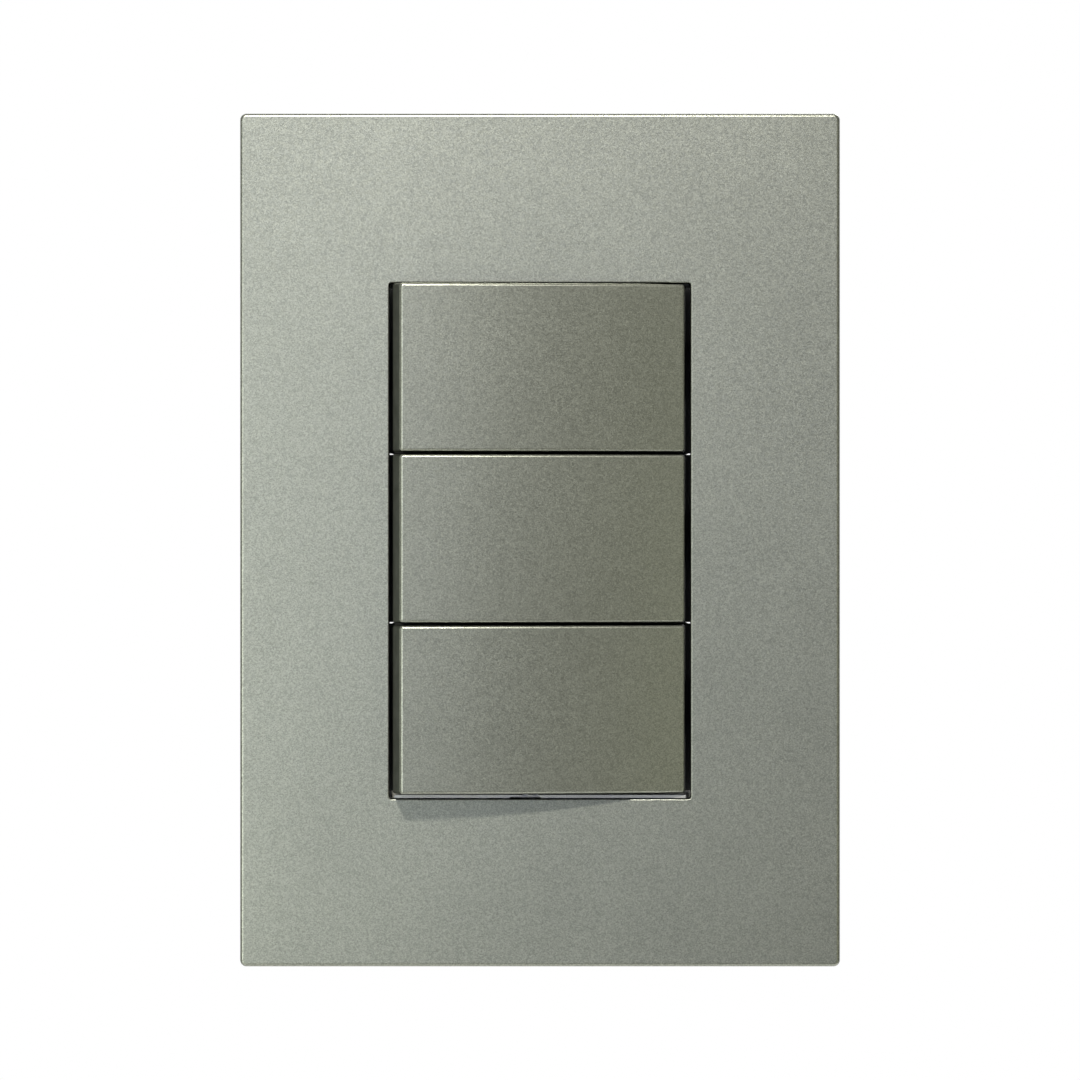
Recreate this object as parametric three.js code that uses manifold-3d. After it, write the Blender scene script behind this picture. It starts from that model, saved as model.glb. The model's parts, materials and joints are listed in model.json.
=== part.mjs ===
// A three-gang rocker light switch with its cover plate, in millimetres.
// +X is to the right, +Z is up and the front faces -Y. The wall's surface is the plane y = 0,
// and the origin is the middle of the cover plate's rim on that plane.
// Each gang is a switch of its own: a key on a cradle that rocks on an upright pin, a sprung
// plunger in the cradle, and a contact lever that the plunger throws from one side to the other.

import * as THREE from 'three';
import { mergeVertices } from 'three/addons/utils/BufferGeometryUtils.js';
import Module from 'manifold-3d';

const wasm = await Module();
wasm.setup();

// ---------------------------------------------------------------- driving dimensions

const FIT = 0.1; // gap left between two pieces that rest on each other
const PAST = 1; // how far a cutting shape runs past the piece that it cuts

const COVER = {
  width: 84.8,
  height: 120.4,
  front: -8.5,
  draft: 0.2, // how far each side wall leans in on its way to the front
  edgeRound: 0.5,
  cornerRadius: 1.1,
  wall: 1.8,
  face: 2,
};

const OPENING = {
  width: 42.5,
  height: 72.64,
  drop: 0.12, // the opening sits this much below the middle of the plate
  cornerRadius: 0.4,
  chamfer: 0.18,
  lip: 1.2,
  lipEnd: -4.2,
};

const FRAME = {
  width: 76,
  height: 108,
  thickness: 2,
  padHeight: 0.4, // how far the two screw pads stand behind the rest of the frame
  padHalfLength: 9,
  padHalfWidth: 3.7,
  cornerRadius: 4,
  windowWidth: 45.2,
  windowHeight: 71.2,
  windowCorner: 0.4,
  ribIn: 24.8,
  ribOut: 26,
  ribHeight: 1.2,
  ribLength: 70,
  holeRadius: 2.1,
  holeX: 30,
  holeZ: 47,
};

// the thin wall on the frame that stands forward under the lowest key, and its small notches
const SILL = {
  halfLength: 20.5,
  top: -35.9,
  thickness: 0.42,
  front: -7.6,
  notchDepth: 2,
  notches: [[-2.5, -1.7], [-1, -0.25]],
};

// the two screws into a 4 x 2 inch wall box
const BOX_SCREW = {
  spacing: 83.5,
  slotLength: 9,
  slotWidth: 4,
  headRadius: 3.3,
  headHeight: 2.1,
  shankRadius: 1.75,
  tip: 18,
  driveWidth: 0.9,
  driveDepth: 1,
};

// a pan head's profile, in shares of its radius and of its height, from the top down
const PAN_HEAD = [[0, 0], [0.55, 0], [0.9, 0.3], [1, 0.75], [1, 1]];

// the four places where the cover plate snaps onto the frame
const SNAP = {
  x: 33,
  z: 30,
  postThickness: 1.6,
  postLength: 8,
  postFront: -5.6,
  catchDepth: 0.6,
  catchHeight: 0.7,
  tabGap: 0.9,
  tabThickness: 1.3,
  tabLength: 6,
  tabEnd: -3.4,
  nibDepth: 0.6,
  nibHeight: 0.6,
};

const GANGS = {
  names: ['upper', 'middle', 'lower'],
  pitch: 24,
  lift: 0.22, // the stack sits this much above the middle of the plate
};

const ROCK_DEG = 7; // the key rests this far to either side of level
const PIVOT_Y = -7.4;

// measured from the pivot, with the key level
const KEY = {
  length: 40.3,
  height: 23.55,
  front: -4.35, // at the middle of its face
  crownRadius: 210, // the face is part of a wide cylinder about an upright line
  back: 0.6,
  endDraft: 0.6,
  sideDraft: 0.1,
  cornerRadius: 0.45,
  face: 1.75,
  wall: 1.15,
  ribX: 11.3,
  ribThickness: 1.2,
  ribLength: 12,
  ribEnd: 0.1,
  hookReach: 1,
  hookHeight: 0.7,
};

const CRADLE = {
  length: 21.4,
  width: 16.4,
  front: -2.3,
  thickness: 1.5,
  cheekThickness: 1.2,
  cheekHalf: 3.2,
  cheekEnd: 2.2,
  pinRadius: 1.5,
  pinReach: 9.8,
  barrelRadius: 3.1,
  barrelEnd: 10.8,
  boreRadius: 2.1,
  boreStart: 2.3,
};

const PLUNGER = {
  guideRadius: 1.95,
  guideStart: 8.3,
  guideEnd: 10.9,
  spigotRadius: 1,
  spigotStart: 6.8,
  stemRadius: 1.35,
  noseLength: 1,
  noseRadius: 0.95,
  tip: 16,
};

const SPRING = {
  radius: 1.6,
  wireRadius: 0.24,
  start: 2.65,
  end: 7.95,
  turns: 5,
};

const BRIDGE = {
  length: 44,
  height: 23.8,
  front: 0.9,
  thickness: 1.5,
  slotHalfLength: 4.8,
  slotHalfWidth: 3.6,
  earNear: 8.6,
  earFar: 9.9,
  earRadius: 2.3,
  earHole: 1.62,
  earFoot: 4.2,
  clipNear: 21.45,
  clipFar: 22.3,
  clipHook: 23.6,
  clipHalfWidth: 4,
  clipFront: -3.4,
  hookThickness: 0.7,
  shoulder: 23.8,
  shoulderFront: -0.1,
};

const HOUSING = {
  length: 44,
  height: 23.8,
  back: 22,
  wall: 1.4,
  backWall: 1.6,
  cornerRadius: 1.2,
  screwHole: 3.15,
  wireHole: 1.8,
  grooveHalfWidth: 0.6,
  grooveDepth: 0.8,
  grooveX: 8,
};

const TERMINAL = {
  x: 14.5,
  screwZ: -4.5,
  wireZ: 4.8,
  halfLength: 3.9,
  halfWidth: 7.6,
  front: 15,
  thickness: 1,
  holeRadius: 1.85,
  stripHalfWidth: 2.4,
  clampHalfLength: 3.5,
  clampHalfWidth: 3.6,
  clampFront: 16.7,
  clampThickness: 1.2,
  clampLip: 0.5,
};

const TERMINAL_SCREW = {
  headFront: 18,
  headBack: 21.4,
  headRadius: 2.85,
  shankRadius: 1.7,
  tip: 12.4,
  driveWidth: 0.9,
  driveDepth: 1.2,
};

const LEVER_DEG = 8; // the contact lever rests this far to either side of level
const LEVER_Y = 9.05;

// measured from the knife edge that the lever tips on, with the lever level
const LEVER = {
  left: -7,
  right: 12.8,
  thickness: 0.8,
  halfWidth: 3.2,
  waistHalfLength: 1.4,
  waistHalfWidth: 2.4,
  toeHeight: 1.6,
};

const KNIFE = {
  halfThickness: 0.45,
  halfWidth: 2.6,
  outerHalfWidth: 4.1,
  prongNear: 2.8,
  prongTop: 8.2,
  root: 10.8,
};

const CONTACT = {
  x: 11,
  radius: 1.5,
  crownRadius: 0.6,
  rim: 0.4,
  height: 0.8,
  shankRadius: 0.75,
  holeRadius: 0.9,
  backRadius: 1.2,
  backHeight: 0.3,
  fixedX: 10.73,
  fixedTabFront: 12.72,
  fixedTabThickness: 0.8,
  fixedTabIn: 8.9,
  fixedTabOut: 13.5,
};

const SMOOTH = {
  corner: 4, // steps round a corner of a lofted outline
  edge: 3, // steps over a rounded edge
  arc: 5, // steps round a quarter of a slot or rounded outline
  crown: 10, // steps along a key's crowned face
  round: 24, // sides of a screw, pin or bore
  small: 16,
  coilSteps: 8,
  coilSides: 5,
};

// ---------------------------------------------------------------- solids

// A geometry's closed solid, with shared vertices merged and collapsed faces dropped.
function solidOf(geometry) {
  const bare = geometry.clone();
  bare.deleteAttribute('normal');
  bare.deleteAttribute('uv');
  const merged = mergeVertices(bare, 1e-4);
  const kept = [];
  for (let i = 0; i < merged.index.count; i += 3) {
    const [a, b, c] = [0, 1, 2].map((k) => merged.index.getX(i + k));
    if (a !== b && b !== c && a !== c) kept.push(a, b, c);
  }
  const mesh = new wasm.Mesh({
    numProp: 3,
    vertProperties: merged.attributes.position.array,
    triVerts: new Uint32Array(kept),
  });
  return new wasm.Manifold(mesh);
}

function geometryOf(solid) {
  const mesh = solid.getMesh();
  const geometry = new THREE.BufferGeometry();
  geometry.setAttribute('position', new THREE.BufferAttribute(mesh.vertProperties, 3));
  geometry.setIndex(new THREE.BufferAttribute(mesh.triVerts, 1));
  return geometry;
}

function join(first, ...others) {
  return others.reduce((sum, other) => sum.add(other), first);
}

function cut(body, ...tools) {
  return tools.reduce((rest, tool) => rest.subtract(tool), body);
}

function block([x0, x1], [y0, y1], [z0, z1]) {
  const geometry = new THREE.BoxGeometry(x1 - x0, y1 - y0, z1 - z0);
  geometry.translate((x0 + x1) / 2, (y0 + y1) / 2, (z0 + z1) / 2);
  return solidOf(geometry);
}

// The stretch from near to far on one side of the middle, lowest value first.
function sideSpan(side, near, far) {
  return side > 0 ? [near, far] : [-far, -near];
}

function centred(half) {
  return [-half, half];
}

// A round bar along Y, from one y to another.
function barY(radius, [y0, y1], x = 0, z = 0, sides = SMOOTH.round) {
  const geometry = new THREE.CylinderGeometry(radius, radius, y1 - y0, sides);
  geometry.translate(x, (y0 + y1) / 2, z);
  return solidOf(geometry);
}

// A round bar along Z, from one z to another.
function barZ(radius, [z0, z1], x, y, sides = SMOOTH.round) {
  const geometry = new THREE.CylinderGeometry(radius, radius, z1 - z0, sides);
  geometry.rotateX(Math.PI / 2);
  geometry.translate(x, y, (z0 + z1) / 2);
  return solidOf(geometry);
}

// A solid of revolution about the Y axis; the profile is [radius, y] pairs in rising y.
function turned(profile, sides = SMOOTH.round) {
  const points = profile.map(([r, y]) => new THREE.Vector2(r, y));
  return solidOf(new THREE.LatheGeometry(points, sides));
}

// A rounded rectangle in X and Z, counter-clockwise as seen from the front, at one y.
function roundedRing(halfX, halfZ, radius, y) {
  const ring = [];
  const corners = [[1, -1, -90], [1, 1, 0], [-1, 1, 90], [-1, -1, 180]];
  for (const [sideX, sideZ, startDeg] of corners) {
    for (let i = 0; i <= SMOOTH.corner; i += 1) {
      const angle = THREE.MathUtils.degToRad(startDeg + (90 * i) / SMOOTH.corner);
      const x = sideX * (halfX - radius) + radius * Math.cos(angle);
      const z = sideZ * (halfZ - radius) + radius * Math.sin(angle);
      ring.push(new THREE.Vector3(x, y, z));
    }
  }
  return ring;
}

// A closed skin over rings of equal length, given from the front ring to the back one.
function loft(rings) {
  const count = rings[0].length;
  const points = rings.flat();
  const faces = [];
  for (let r = 0; r + 1 < rings.length; r += 1) {
    for (let i = 0; i < count; i += 1) {
      const a = r * count + i;
      const b = r * count + ((i + 1) % count);
      faces.push(a, a + count, b, b, a + count, b + count);
    }
  }
  const last = (rings.length - 1) * count;
  for (let i = 1; i + 1 < count; i += 1) {
    faces.push(0, i, i + 1);
    faces.push(last, last + i + 1, last + i);
  }
  const geometry = new THREE.BufferGeometry();
  geometry.setFromPoints(points);
  geometry.setIndex(faces);
  return solidOf(geometry);
}

// A slab with rounded corners, a rounded front edge and sides that lean out towards the back.
function roundedSlab({ halfX, halfZ, corner, front, back, leanX = 0, leanZ = 0, edge = 0 }) {
  const rings = [];
  const steps = edge > 0 ? SMOOTH.edge : 0;
  for (let i = 0; i <= steps; i += 1) {
    const angle = steps > 0 ? (Math.PI / 2) * (i / steps) : Math.PI / 2;
    const inset = edge * (1 - Math.sin(angle));
    const y = front + edge * (1 - Math.cos(angle));
    rings.push(roundedRing(halfX - inset, halfZ - inset, corner - inset, y));
  }
  rings.push(roundedRing(halfX + leanX, halfZ + leanZ, corner, back));
  return loft(rings);
}

// An outline in X and Z with rounded corners, as a shape for an extrusion.
function roundedOutline(halfX, halfZ, radius, x = 0, z = 0, Path = THREE.Shape) {
  const path = new Path();
  path.moveTo(x + halfX - radius, z - halfZ);
  path.absarc(x + halfX - radius, z - halfZ + radius, radius, -Math.PI / 2, 0);
  path.absarc(x + halfX - radius, z + halfZ - radius, radius, 0, Math.PI / 2);
  path.absarc(x - halfX + radius, z + halfZ - radius, radius, Math.PI / 2, Math.PI);
  path.absarc(x - halfX + radius, z - halfZ + radius, radius, Math.PI, Math.PI * 1.5);
  path.closePath();
  return path;
}

// An outline drawn in X and Z, extruded along Y.
function prismY(shape, [y0, y1]) {
  const options = { depth: y1 - y0, bevelEnabled: false, curveSegments: SMOOTH.arc };
  const geometry = new THREE.ExtrudeGeometry(shape, options);
  geometry.rotateX(Math.PI / 2);
  geometry.translate(0, y1, 0);
  return solidOf(geometry);
}

// An outline drawn in X and Y, extruded along Z.
function prismZ(corners, [z0, z1]) {
  const shape = new THREE.Shape(corners.map(([x, y]) => new THREE.Vector2(x, y)));
  const geometry = new THREE.ExtrudeGeometry(shape, { depth: z1 - z0, bevelEnabled: false });
  geometry.translate(0, 0, z0);
  return solidOf(geometry);
}

// ---------------------------------------------------------------- the cover plate and its frame

// The four tabs behind the cover plate, each with a nib that hooks under a catch on the frame.
function snapTabs() {
  const inner = SNAP.x + SNAP.postThickness / 2 + SNAP.tabGap;
  const root = COVER.front + COVER.face - PAST / 2;
  const tabs = [];
  for (const side of [-1, 1]) {
    for (const level of [-SNAP.z, SNAP.z]) {
      const z = [level - SNAP.tabLength / 2, level + SNAP.tabLength / 2];
      const tab = block(sideSpan(side, inner, inner + SNAP.tabThickness), [root, SNAP.tabEnd], z);
      const nibX = sideSpan(side, inner - SNAP.nibDepth, inner + SNAP.tabThickness / 2);
      tabs.push(tab, block(nibX, [SNAP.tabEnd - SNAP.nibHeight, SNAP.tabEnd], z));
    }
  }
  return tabs;
}

function coverPlate() {
  const halfX = COVER.width / 2 - COVER.draft;
  const halfZ = COVER.height / 2 - COVER.draft;
  const shell = roundedSlab({
    halfX,
    halfZ,
    corner: COVER.cornerRadius,
    front: COVER.front,
    back: 0,
    leanX: COVER.draft,
    leanZ: COVER.draft,
    edge: COVER.edgeRound,
  });
  const hollow = roundedSlab({
    halfX: halfX - COVER.wall,
    halfZ: halfZ - COVER.wall,
    corner: COVER.cornerRadius,
    front: COVER.front + COVER.face,
    back: PAST,
  });
  const openX = OPENING.width / 2;
  const openZ = OPENING.height / 2;
  const lip = roundedSlab({
    halfX: openX + OPENING.lip,
    halfZ: openZ + OPENING.lip,
    corner: OPENING.cornerRadius + OPENING.lip,
    front: COVER.front + COVER.face / 2,
    back: OPENING.lipEnd,
  });
  const flare = OPENING.chamfer + PAST;
  const corner = OPENING.cornerRadius;
  const mouth = loft([
    roundedRing(openX + flare, openZ + flare, corner + flare, COVER.front - PAST),
    roundedRing(openX, openZ, corner, COVER.front + OPENING.chamfer),
    roundedRing(openX, openZ, corner, PAST),
  ]);
  const [lipInPlace, mouthInPlace] = [lip, mouth].map((solid) => solid.translate(0, 0, -OPENING.drop));
  return cut(join(cut(shell, hollow), lipInPlace, ...snapTabs()), mouthInPlace);
}

const frameFront = -FRAME.padHeight - FRAME.thickness;

// The posts on the frame that the cover plate's tabs snap past.
function snapPosts() {
  const posts = [];
  for (const side of [-1, 1]) {
    for (const level of [-SNAP.z, SNAP.z]) {
      const z = [level - SNAP.postLength / 2, level + SNAP.postLength / 2];
      const near = SNAP.x - SNAP.postThickness / 2;
      const far = SNAP.x + SNAP.postThickness / 2;
      const root = frameFront + FRAME.thickness / 2;
      posts.push(block(sideSpan(side, near, far), [SNAP.postFront, root], z));
      const catchBack = SNAP.postFront + SNAP.catchHeight;
      posts.push(block(sideSpan(side, near, far + SNAP.catchDepth), [SNAP.postFront, catchBack], z));
    }
  }
  return posts;
}

// The opening in the frame and its pad that a box screw goes through.
function screwSlot(level) {
  const halfWidth = BOX_SCREW.slotWidth / 2;
  const z = (level * BOX_SCREW.spacing) / 2;
  return roundedOutline(BOX_SCREW.slotLength / 2, halfWidth, halfWidth, 0, z, THREE.Path);
}

// The pad round a screw slot, which bears on the wall box.
function screwPad(level) {
  const z = (level * BOX_SCREW.spacing) / 2;
  const { padHalfLength, padHalfWidth } = FRAME;
  const outline = roundedOutline(padHalfLength, padHalfWidth, padHalfWidth, 0, z);
  outline.holes.push(screwSlot(level));
  return prismY(outline, [frameFront + FRAME.thickness / 2, 0]);
}

function sill() {
  const wallY = [SILL.front, frameFront + FRAME.thickness / 2];
  const wallZ = [SILL.top - SILL.thickness, SILL.top];
  const wall = block(centred(SILL.halfLength), wallY, wallZ);
  const notches = SILL.notches.map((notchX) =>
    block(notchX, [SILL.front - PAST, SILL.front + SILL.notchDepth], [SILL.top - PAST, SILL.top + PAST]));
  return cut(wall, ...notches);
}

function supportFrame() {
  const outline = roundedOutline(FRAME.width / 2, FRAME.height / 2, FRAME.cornerRadius);
  const windowHalfX = FRAME.windowWidth / 2;
  const windowHalfZ = FRAME.windowHeight / 2;
  const { windowCorner } = FRAME;
  outline.holes.push(roundedOutline(windowHalfX, windowHalfZ, windowCorner, 0, 0, THREE.Path));
  for (const level of [-1, 1]) {
    outline.holes.push(screwSlot(level));
    for (const side of [-1, 1]) {
      const hole = new THREE.Path();
      hole.absarc(side * FRAME.holeX, level * FRAME.holeZ, FRAME.holeRadius, 0, Math.PI * 2);
      outline.holes.push(hole);
    }
  }
  const sheet = prismY(outline, [frameFront, -FRAME.padHeight]);
  const pads = [-1, 1].map(screwPad);
  const ribY = [frameFront - FRAME.ribHeight, frameFront + FRAME.thickness / 2];
  const ribs = [-1, 1].map((side) =>
    block(sideSpan(side, FRAME.ribIn, FRAME.ribOut), ribY, centred(FRAME.ribLength / 2)));
  return join(sheet, sill(), ...pads, ...ribs, ...snapPosts());
}

// A slotted pan-head screw along Y with its head to the front.
function boxScrew() {
  const headBack = frameFront - FIT;
  const front = headBack - BOX_SCREW.headHeight;
  const head = PAN_HEAD.map(([across, down]) =>
    [across * BOX_SCREW.headRadius, front + down * BOX_SCREW.headHeight]);
  const body = turned([
    ...head,
    [BOX_SCREW.shankRadius, headBack],
    [BOX_SCREW.shankRadius, BOX_SCREW.tip - BOX_SCREW.shankRadius],
    [0, BOX_SCREW.tip],
  ]);
  const drive = block(
    centred(BOX_SCREW.headRadius + PAST),
    [front - PAST, front + BOX_SCREW.driveDepth],
    centred(BOX_SCREW.driveWidth / 2),
  );
  return cut(body, drive);
}

// ---------------------------------------------------------------- what rocks with the key

// The space in front of a key's crowned face.
function beforeCrown() {
  const half = KEY.length / 2 + PAST;
  const outline = [[-half, KEY.front - PAST], [half, KEY.front - PAST]];
  for (let i = 0; i <= SMOOTH.crown; i += 1) {
    const x = half * (1 - (2 * i) / SMOOTH.crown);
    outline.push([x, KEY.front + x ** 2 / (2 * KEY.crownRadius)]);
  }
  return prismZ(outline, centred(KEY.height / 2 + PAST));
}

function rockerKey() {
  const halfX = KEY.length / 2;
  const halfZ = KEY.height / 2;
  const shell = roundedSlab({
    halfX,
    halfZ,
    corner: KEY.cornerRadius,
    front: KEY.front,
    back: KEY.back,
    leanX: KEY.endDraft,
    leanZ: KEY.sideDraft,
  });
  const hollow = roundedSlab({
    halfX: halfX - KEY.wall,
    halfZ: halfZ - KEY.wall,
    corner: KEY.cornerRadius,
    front: KEY.front + KEY.face,
    back: KEY.back + PAST,
    leanX: KEY.endDraft,
  });
  const ribs = [];
  for (const side of [-1, 1]) {
    const root = KEY.front + KEY.face / 2;
    const z = centred(KEY.ribLength / 2);
    const far = KEY.ribX + KEY.ribThickness;
    ribs.push(block(sideSpan(side, KEY.ribX, far), [root, KEY.ribEnd], z));
    const hookY = [KEY.ribEnd - KEY.hookHeight, KEY.ribEnd];
    ribs.push(block(sideSpan(side, KEY.ribX - KEY.hookReach, far), hookY, z));
  }
  return join(cut(shell, hollow, beforeCrown()), ...ribs);
}

function rockerCradle() {
  const back = CRADLE.front + CRADLE.thickness;
  const halfZ = CRADLE.width / 2;
  const table = block(centred(CRADLE.length / 2), [CRADLE.front, back], centred(halfZ));
  const barrel = barY(CRADLE.barrelRadius, [CRADLE.front + CRADLE.thickness / 2, CRADLE.barrelEnd]);
  const sides = [];
  for (const side of [-1, 1]) {
    const cheekZ = sideSpan(side, halfZ - CRADLE.cheekThickness, halfZ);
    sides.push(block(centred(CRADLE.cheekHalf), [CRADLE.front, CRADLE.cheekEnd], cheekZ));
    const pinZ = sideSpan(side, halfZ - CRADLE.cheekThickness / 2, CRADLE.pinReach);
    sides.push(barZ(CRADLE.pinRadius, pinZ, 0, 0));
  }
  const bore = barY(CRADLE.boreRadius, [CRADLE.boreStart, CRADLE.barrelEnd + PAST]);
  return cut(join(table, barrel, ...sides), bore);
}

function plunger() {
  return turned([
    [0, PLUNGER.spigotStart],
    [PLUNGER.spigotRadius, PLUNGER.spigotStart],
    [PLUNGER.spigotRadius, PLUNGER.guideStart],
    [PLUNGER.guideRadius, PLUNGER.guideStart],
    [PLUNGER.guideRadius, PLUNGER.guideEnd],
    [PLUNGER.stemRadius, PLUNGER.guideEnd],
    [PLUNGER.stemRadius, PLUNGER.tip - PLUNGER.noseLength],
    [PLUNGER.noseRadius, PLUNGER.tip - PLUNGER.noseLength / 3],
    [0, PLUNGER.tip],
  ]);
}

// The middle line of a spring's wire, wound about the Y axis.
class Coil extends THREE.Curve {
  getPoint(t) {
    const angle = t * SPRING.turns * Math.PI * 2;
    const rise = SPRING.start + (SPRING.end - SPRING.start) * t;
    return new THREE.Vector3(
      SPRING.radius * Math.cos(angle),
      rise,
      SPRING.radius * Math.sin(angle),
    );
  }
}

function plungerSpring() {
  const wire = new THREE.Shape();
  for (let i = 0; i < SMOOTH.coilSides; i += 1) {
    const angle = (i / SMOOTH.coilSides) * Math.PI * 2;
    const u = SPRING.wireRadius * Math.cos(angle);
    const v = SPRING.wireRadius * Math.sin(angle);
    if (i === 0) wire.moveTo(u, v);
    else wire.lineTo(u, v);
  }
  wire.closePath();
  const steps = SPRING.turns * SMOOTH.coilSteps;
  const geometry = new THREE.ExtrudeGeometry(wire, { steps, extrudePath: new Coil() });
  return solidOf(geometry);
}

// ---------------------------------------------------------------- what stays with the wall

// The top of a switch: it carries the cradle's pins and clips the switch into the frame.
function moduleBridge() {
  const back = BRIDGE.front + BRIDGE.thickness;
  const plateY = [BRIDGE.front, back];
  const plate = block(centred(BRIDGE.length / 2), plateY, centred(BRIDGE.height / 2));
  const extras = [];
  const holes = [
    block(
      centred(BRIDGE.slotHalfLength),
      [BRIDGE.front - PAST, back + PAST],
      centred(BRIDGE.slotHalfWidth),
    ),
  ];
  for (const side of [-1, 1]) {
    const earZ = sideSpan(side, BRIDGE.earNear, BRIDGE.earFar);
    const r = BRIDGE.earRadius;
    const post = [
      [-BRIDGE.earFoot, back],
      [BRIDGE.earFoot, back],
      [r, PIVOT_Y],
      [-r, PIVOT_Y],
    ];
    extras.push(prismZ(post, earZ), barZ(r, earZ, 0, PIVOT_Y));
    const holeZ = sideSpan(side, BRIDGE.earNear - PAST, BRIDGE.earFar + PAST);
    holes.push(barZ(BRIDGE.earHole, holeZ, 0, PIVOT_Y));
    const clipZ = centred(BRIDGE.clipHalfWidth);
    const wallX = sideSpan(side, BRIDGE.clipNear, BRIDGE.clipFar);
    extras.push(block(wallX, [BRIDGE.clipFront, back], clipZ));
    const hookX = sideSpan(side, BRIDGE.clipNear, BRIDGE.clipHook);
    const hookY = [BRIDGE.clipFront, BRIDGE.clipFront + BRIDGE.hookThickness];
    extras.push(block(hookX, hookY, clipZ));
    const shoulderX = sideSpan(side, BRIDGE.clipNear, BRIDGE.shoulder);
    extras.push(block(shoulderX, [BRIDGE.shoulderFront, back], clipZ));
  }
  return cut(join(plate, ...extras), ...holes);
}

function switchHousing() {
  const halfX = HOUSING.length / 2;
  const halfZ = HOUSING.height / 2;
  const front = BRIDGE.front + BRIDGE.thickness + FIT;
  const shell = prismY(
    roundedOutline(halfX, halfZ, HOUSING.cornerRadius),
    [front, HOUSING.back],
  );
  const floor = HOUSING.back - HOUSING.backWall;
  const hollow = block(
    centred(halfX - HOUSING.wall),
    [front - PAST, floor],
    centred(halfZ - HOUSING.wall),
  );
  const through = [floor - PAST, HOUSING.back + PAST];
  const holes = [];
  for (const side of [-1, 1]) {
    const x = side * TERMINAL.x;
    holes.push(barY(HOUSING.screwHole, through, x, TERMINAL.screwZ));
    holes.push(barY(HOUSING.wireHole, through, x, TERMINAL.wireZ, SMOOTH.small));
  }
  // two shallow grooves across the back, between the terminals and the middle
  const grooveY = [HOUSING.back - HOUSING.grooveDepth, HOUSING.back + PAST];
  for (const side of [-1, 1]) {
    const near = HOUSING.grooveX - HOUSING.grooveHalfWidth;
    const far = HOUSING.grooveX + HOUSING.grooveHalfWidth;
    holes.push(block(sideSpan(side, near, far), grooveY, centred(halfZ + PAST)));
  }
  return cut(shell, hollow, ...holes);
}

// The part of a terminal strip that the clamp and its screw are on.
function terminalPad(side) {
  const near = TERMINAL.x - TERMINAL.halfLength;
  const far = TERMINAL.x + TERMINAL.halfLength;
  const y = [TERMINAL.front, TERMINAL.front + TERMINAL.thickness];
  const pad = block(sideSpan(side, near, far), y, centred(TERMINAL.halfWidth));
  const holeY = [y[0] - PAST, y[1] + PAST];
  return cut(pad, barY(TERMINAL.holeRadius, holeY, side * TERMINAL.x, TERMINAL.screwZ));
}

// The left-hand terminal, with the knife edge and the two prongs that hold the contact lever.
function commonTerminal() {
  const y = [TERMINAL.front, TERMINAL.front + TERMINAL.thickness];
  const padEdge = TERMINAL.x - TERMINAL.halfLength;
  const half = KNIFE.halfThickness;
  const strip = block([-padEdge - FIT, half], y, centred(TERMINAL.stripHalfWidth));
  const foot = block(centred(half), [KNIFE.root, y[1]], centred(KNIFE.outerHalfWidth));
  const edgeTip = LEVER_Y + LEVER.thickness / 2 + FIT;
  const edge = prismZ(
    [[-half, KNIFE.root + FIT], [0, edgeTip], [half, KNIFE.root + FIT]],
    centred(KNIFE.halfWidth),
  );
  const prongs = [-1, 1].map((side) => {
    const z = sideSpan(side, KNIFE.prongNear, KNIFE.outerHalfWidth);
    return block(centred(half), [KNIFE.prongTop, KNIFE.root + FIT], z);
  });
  return join(terminalPad(-1), strip, foot, edge, ...prongs);
}

// The right-hand terminal, stepped forward to hold the fixed contact.
function fixedTerminal() {
  const tabBack = CONTACT.fixedTabFront + CONTACT.fixedTabThickness;
  const z = centred(TERMINAL.stripHalfWidth);
  const tabX = [CONTACT.fixedTabIn, CONTACT.fixedTabOut];
  const tab = block(tabX, [CONTACT.fixedTabFront, tabBack], z);
  const riserX = [CONTACT.fixedTabOut - CONTACT.fixedTabThickness, CONTACT.fixedTabOut];
  const riser = block(riserX, [CONTACT.fixedTabFront, TERMINAL.front + FIT], z);
  const holeY = [CONTACT.fixedTabFront - PAST, tabBack + PAST];
  const hole = barY(CONTACT.holeRadius, holeY, CONTACT.fixedX, 0, SMOOTH.small);
  return cut(join(terminalPad(1), tab, riser), hole);
}

// A square washer with its near edge turned down beside the wire.
function clampPlate() {
  const y = [TERMINAL.clampFront, TERMINAL.clampFront + TERMINAL.clampThickness];
  const half = TERMINAL.clampHalfWidth;
  const plate = block(centred(TERMINAL.clampHalfLength), y, centred(half));
  const lipY = [y[0] - TERMINAL.clampLip, y[1]];
  const lip = block(centred(TERMINAL.clampHalfLength), lipY, [-half, -half + TERMINAL.thickness]);
  const hole = barY(TERMINAL.holeRadius, [y[0] - PAST, y[1] + PAST]);
  return cut(join(plate, lip), hole);
}

function terminalScrew() {
  const { tip, shankRadius, headRadius, headFront, headBack } = TERMINAL_SCREW;
  const head = PAN_HEAD.map(([across, down]) =>
    [across * headRadius, headBack - down * (headBack - headFront)]);
  const body = turned([
    [0, tip],
    [shankRadius, tip + shankRadius],
    [shankRadius, headFront],
    ...head.reverse(),
  ]);
  const drive = block(
    centred(headRadius + PAST),
    [headBack - TERMINAL_SCREW.driveDepth, headBack + PAST],
    centred(TERMINAL_SCREW.driveWidth / 2),
  );
  return cut(body, drive);
}

// ---------------------------------------------------------------- the contacts

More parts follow.
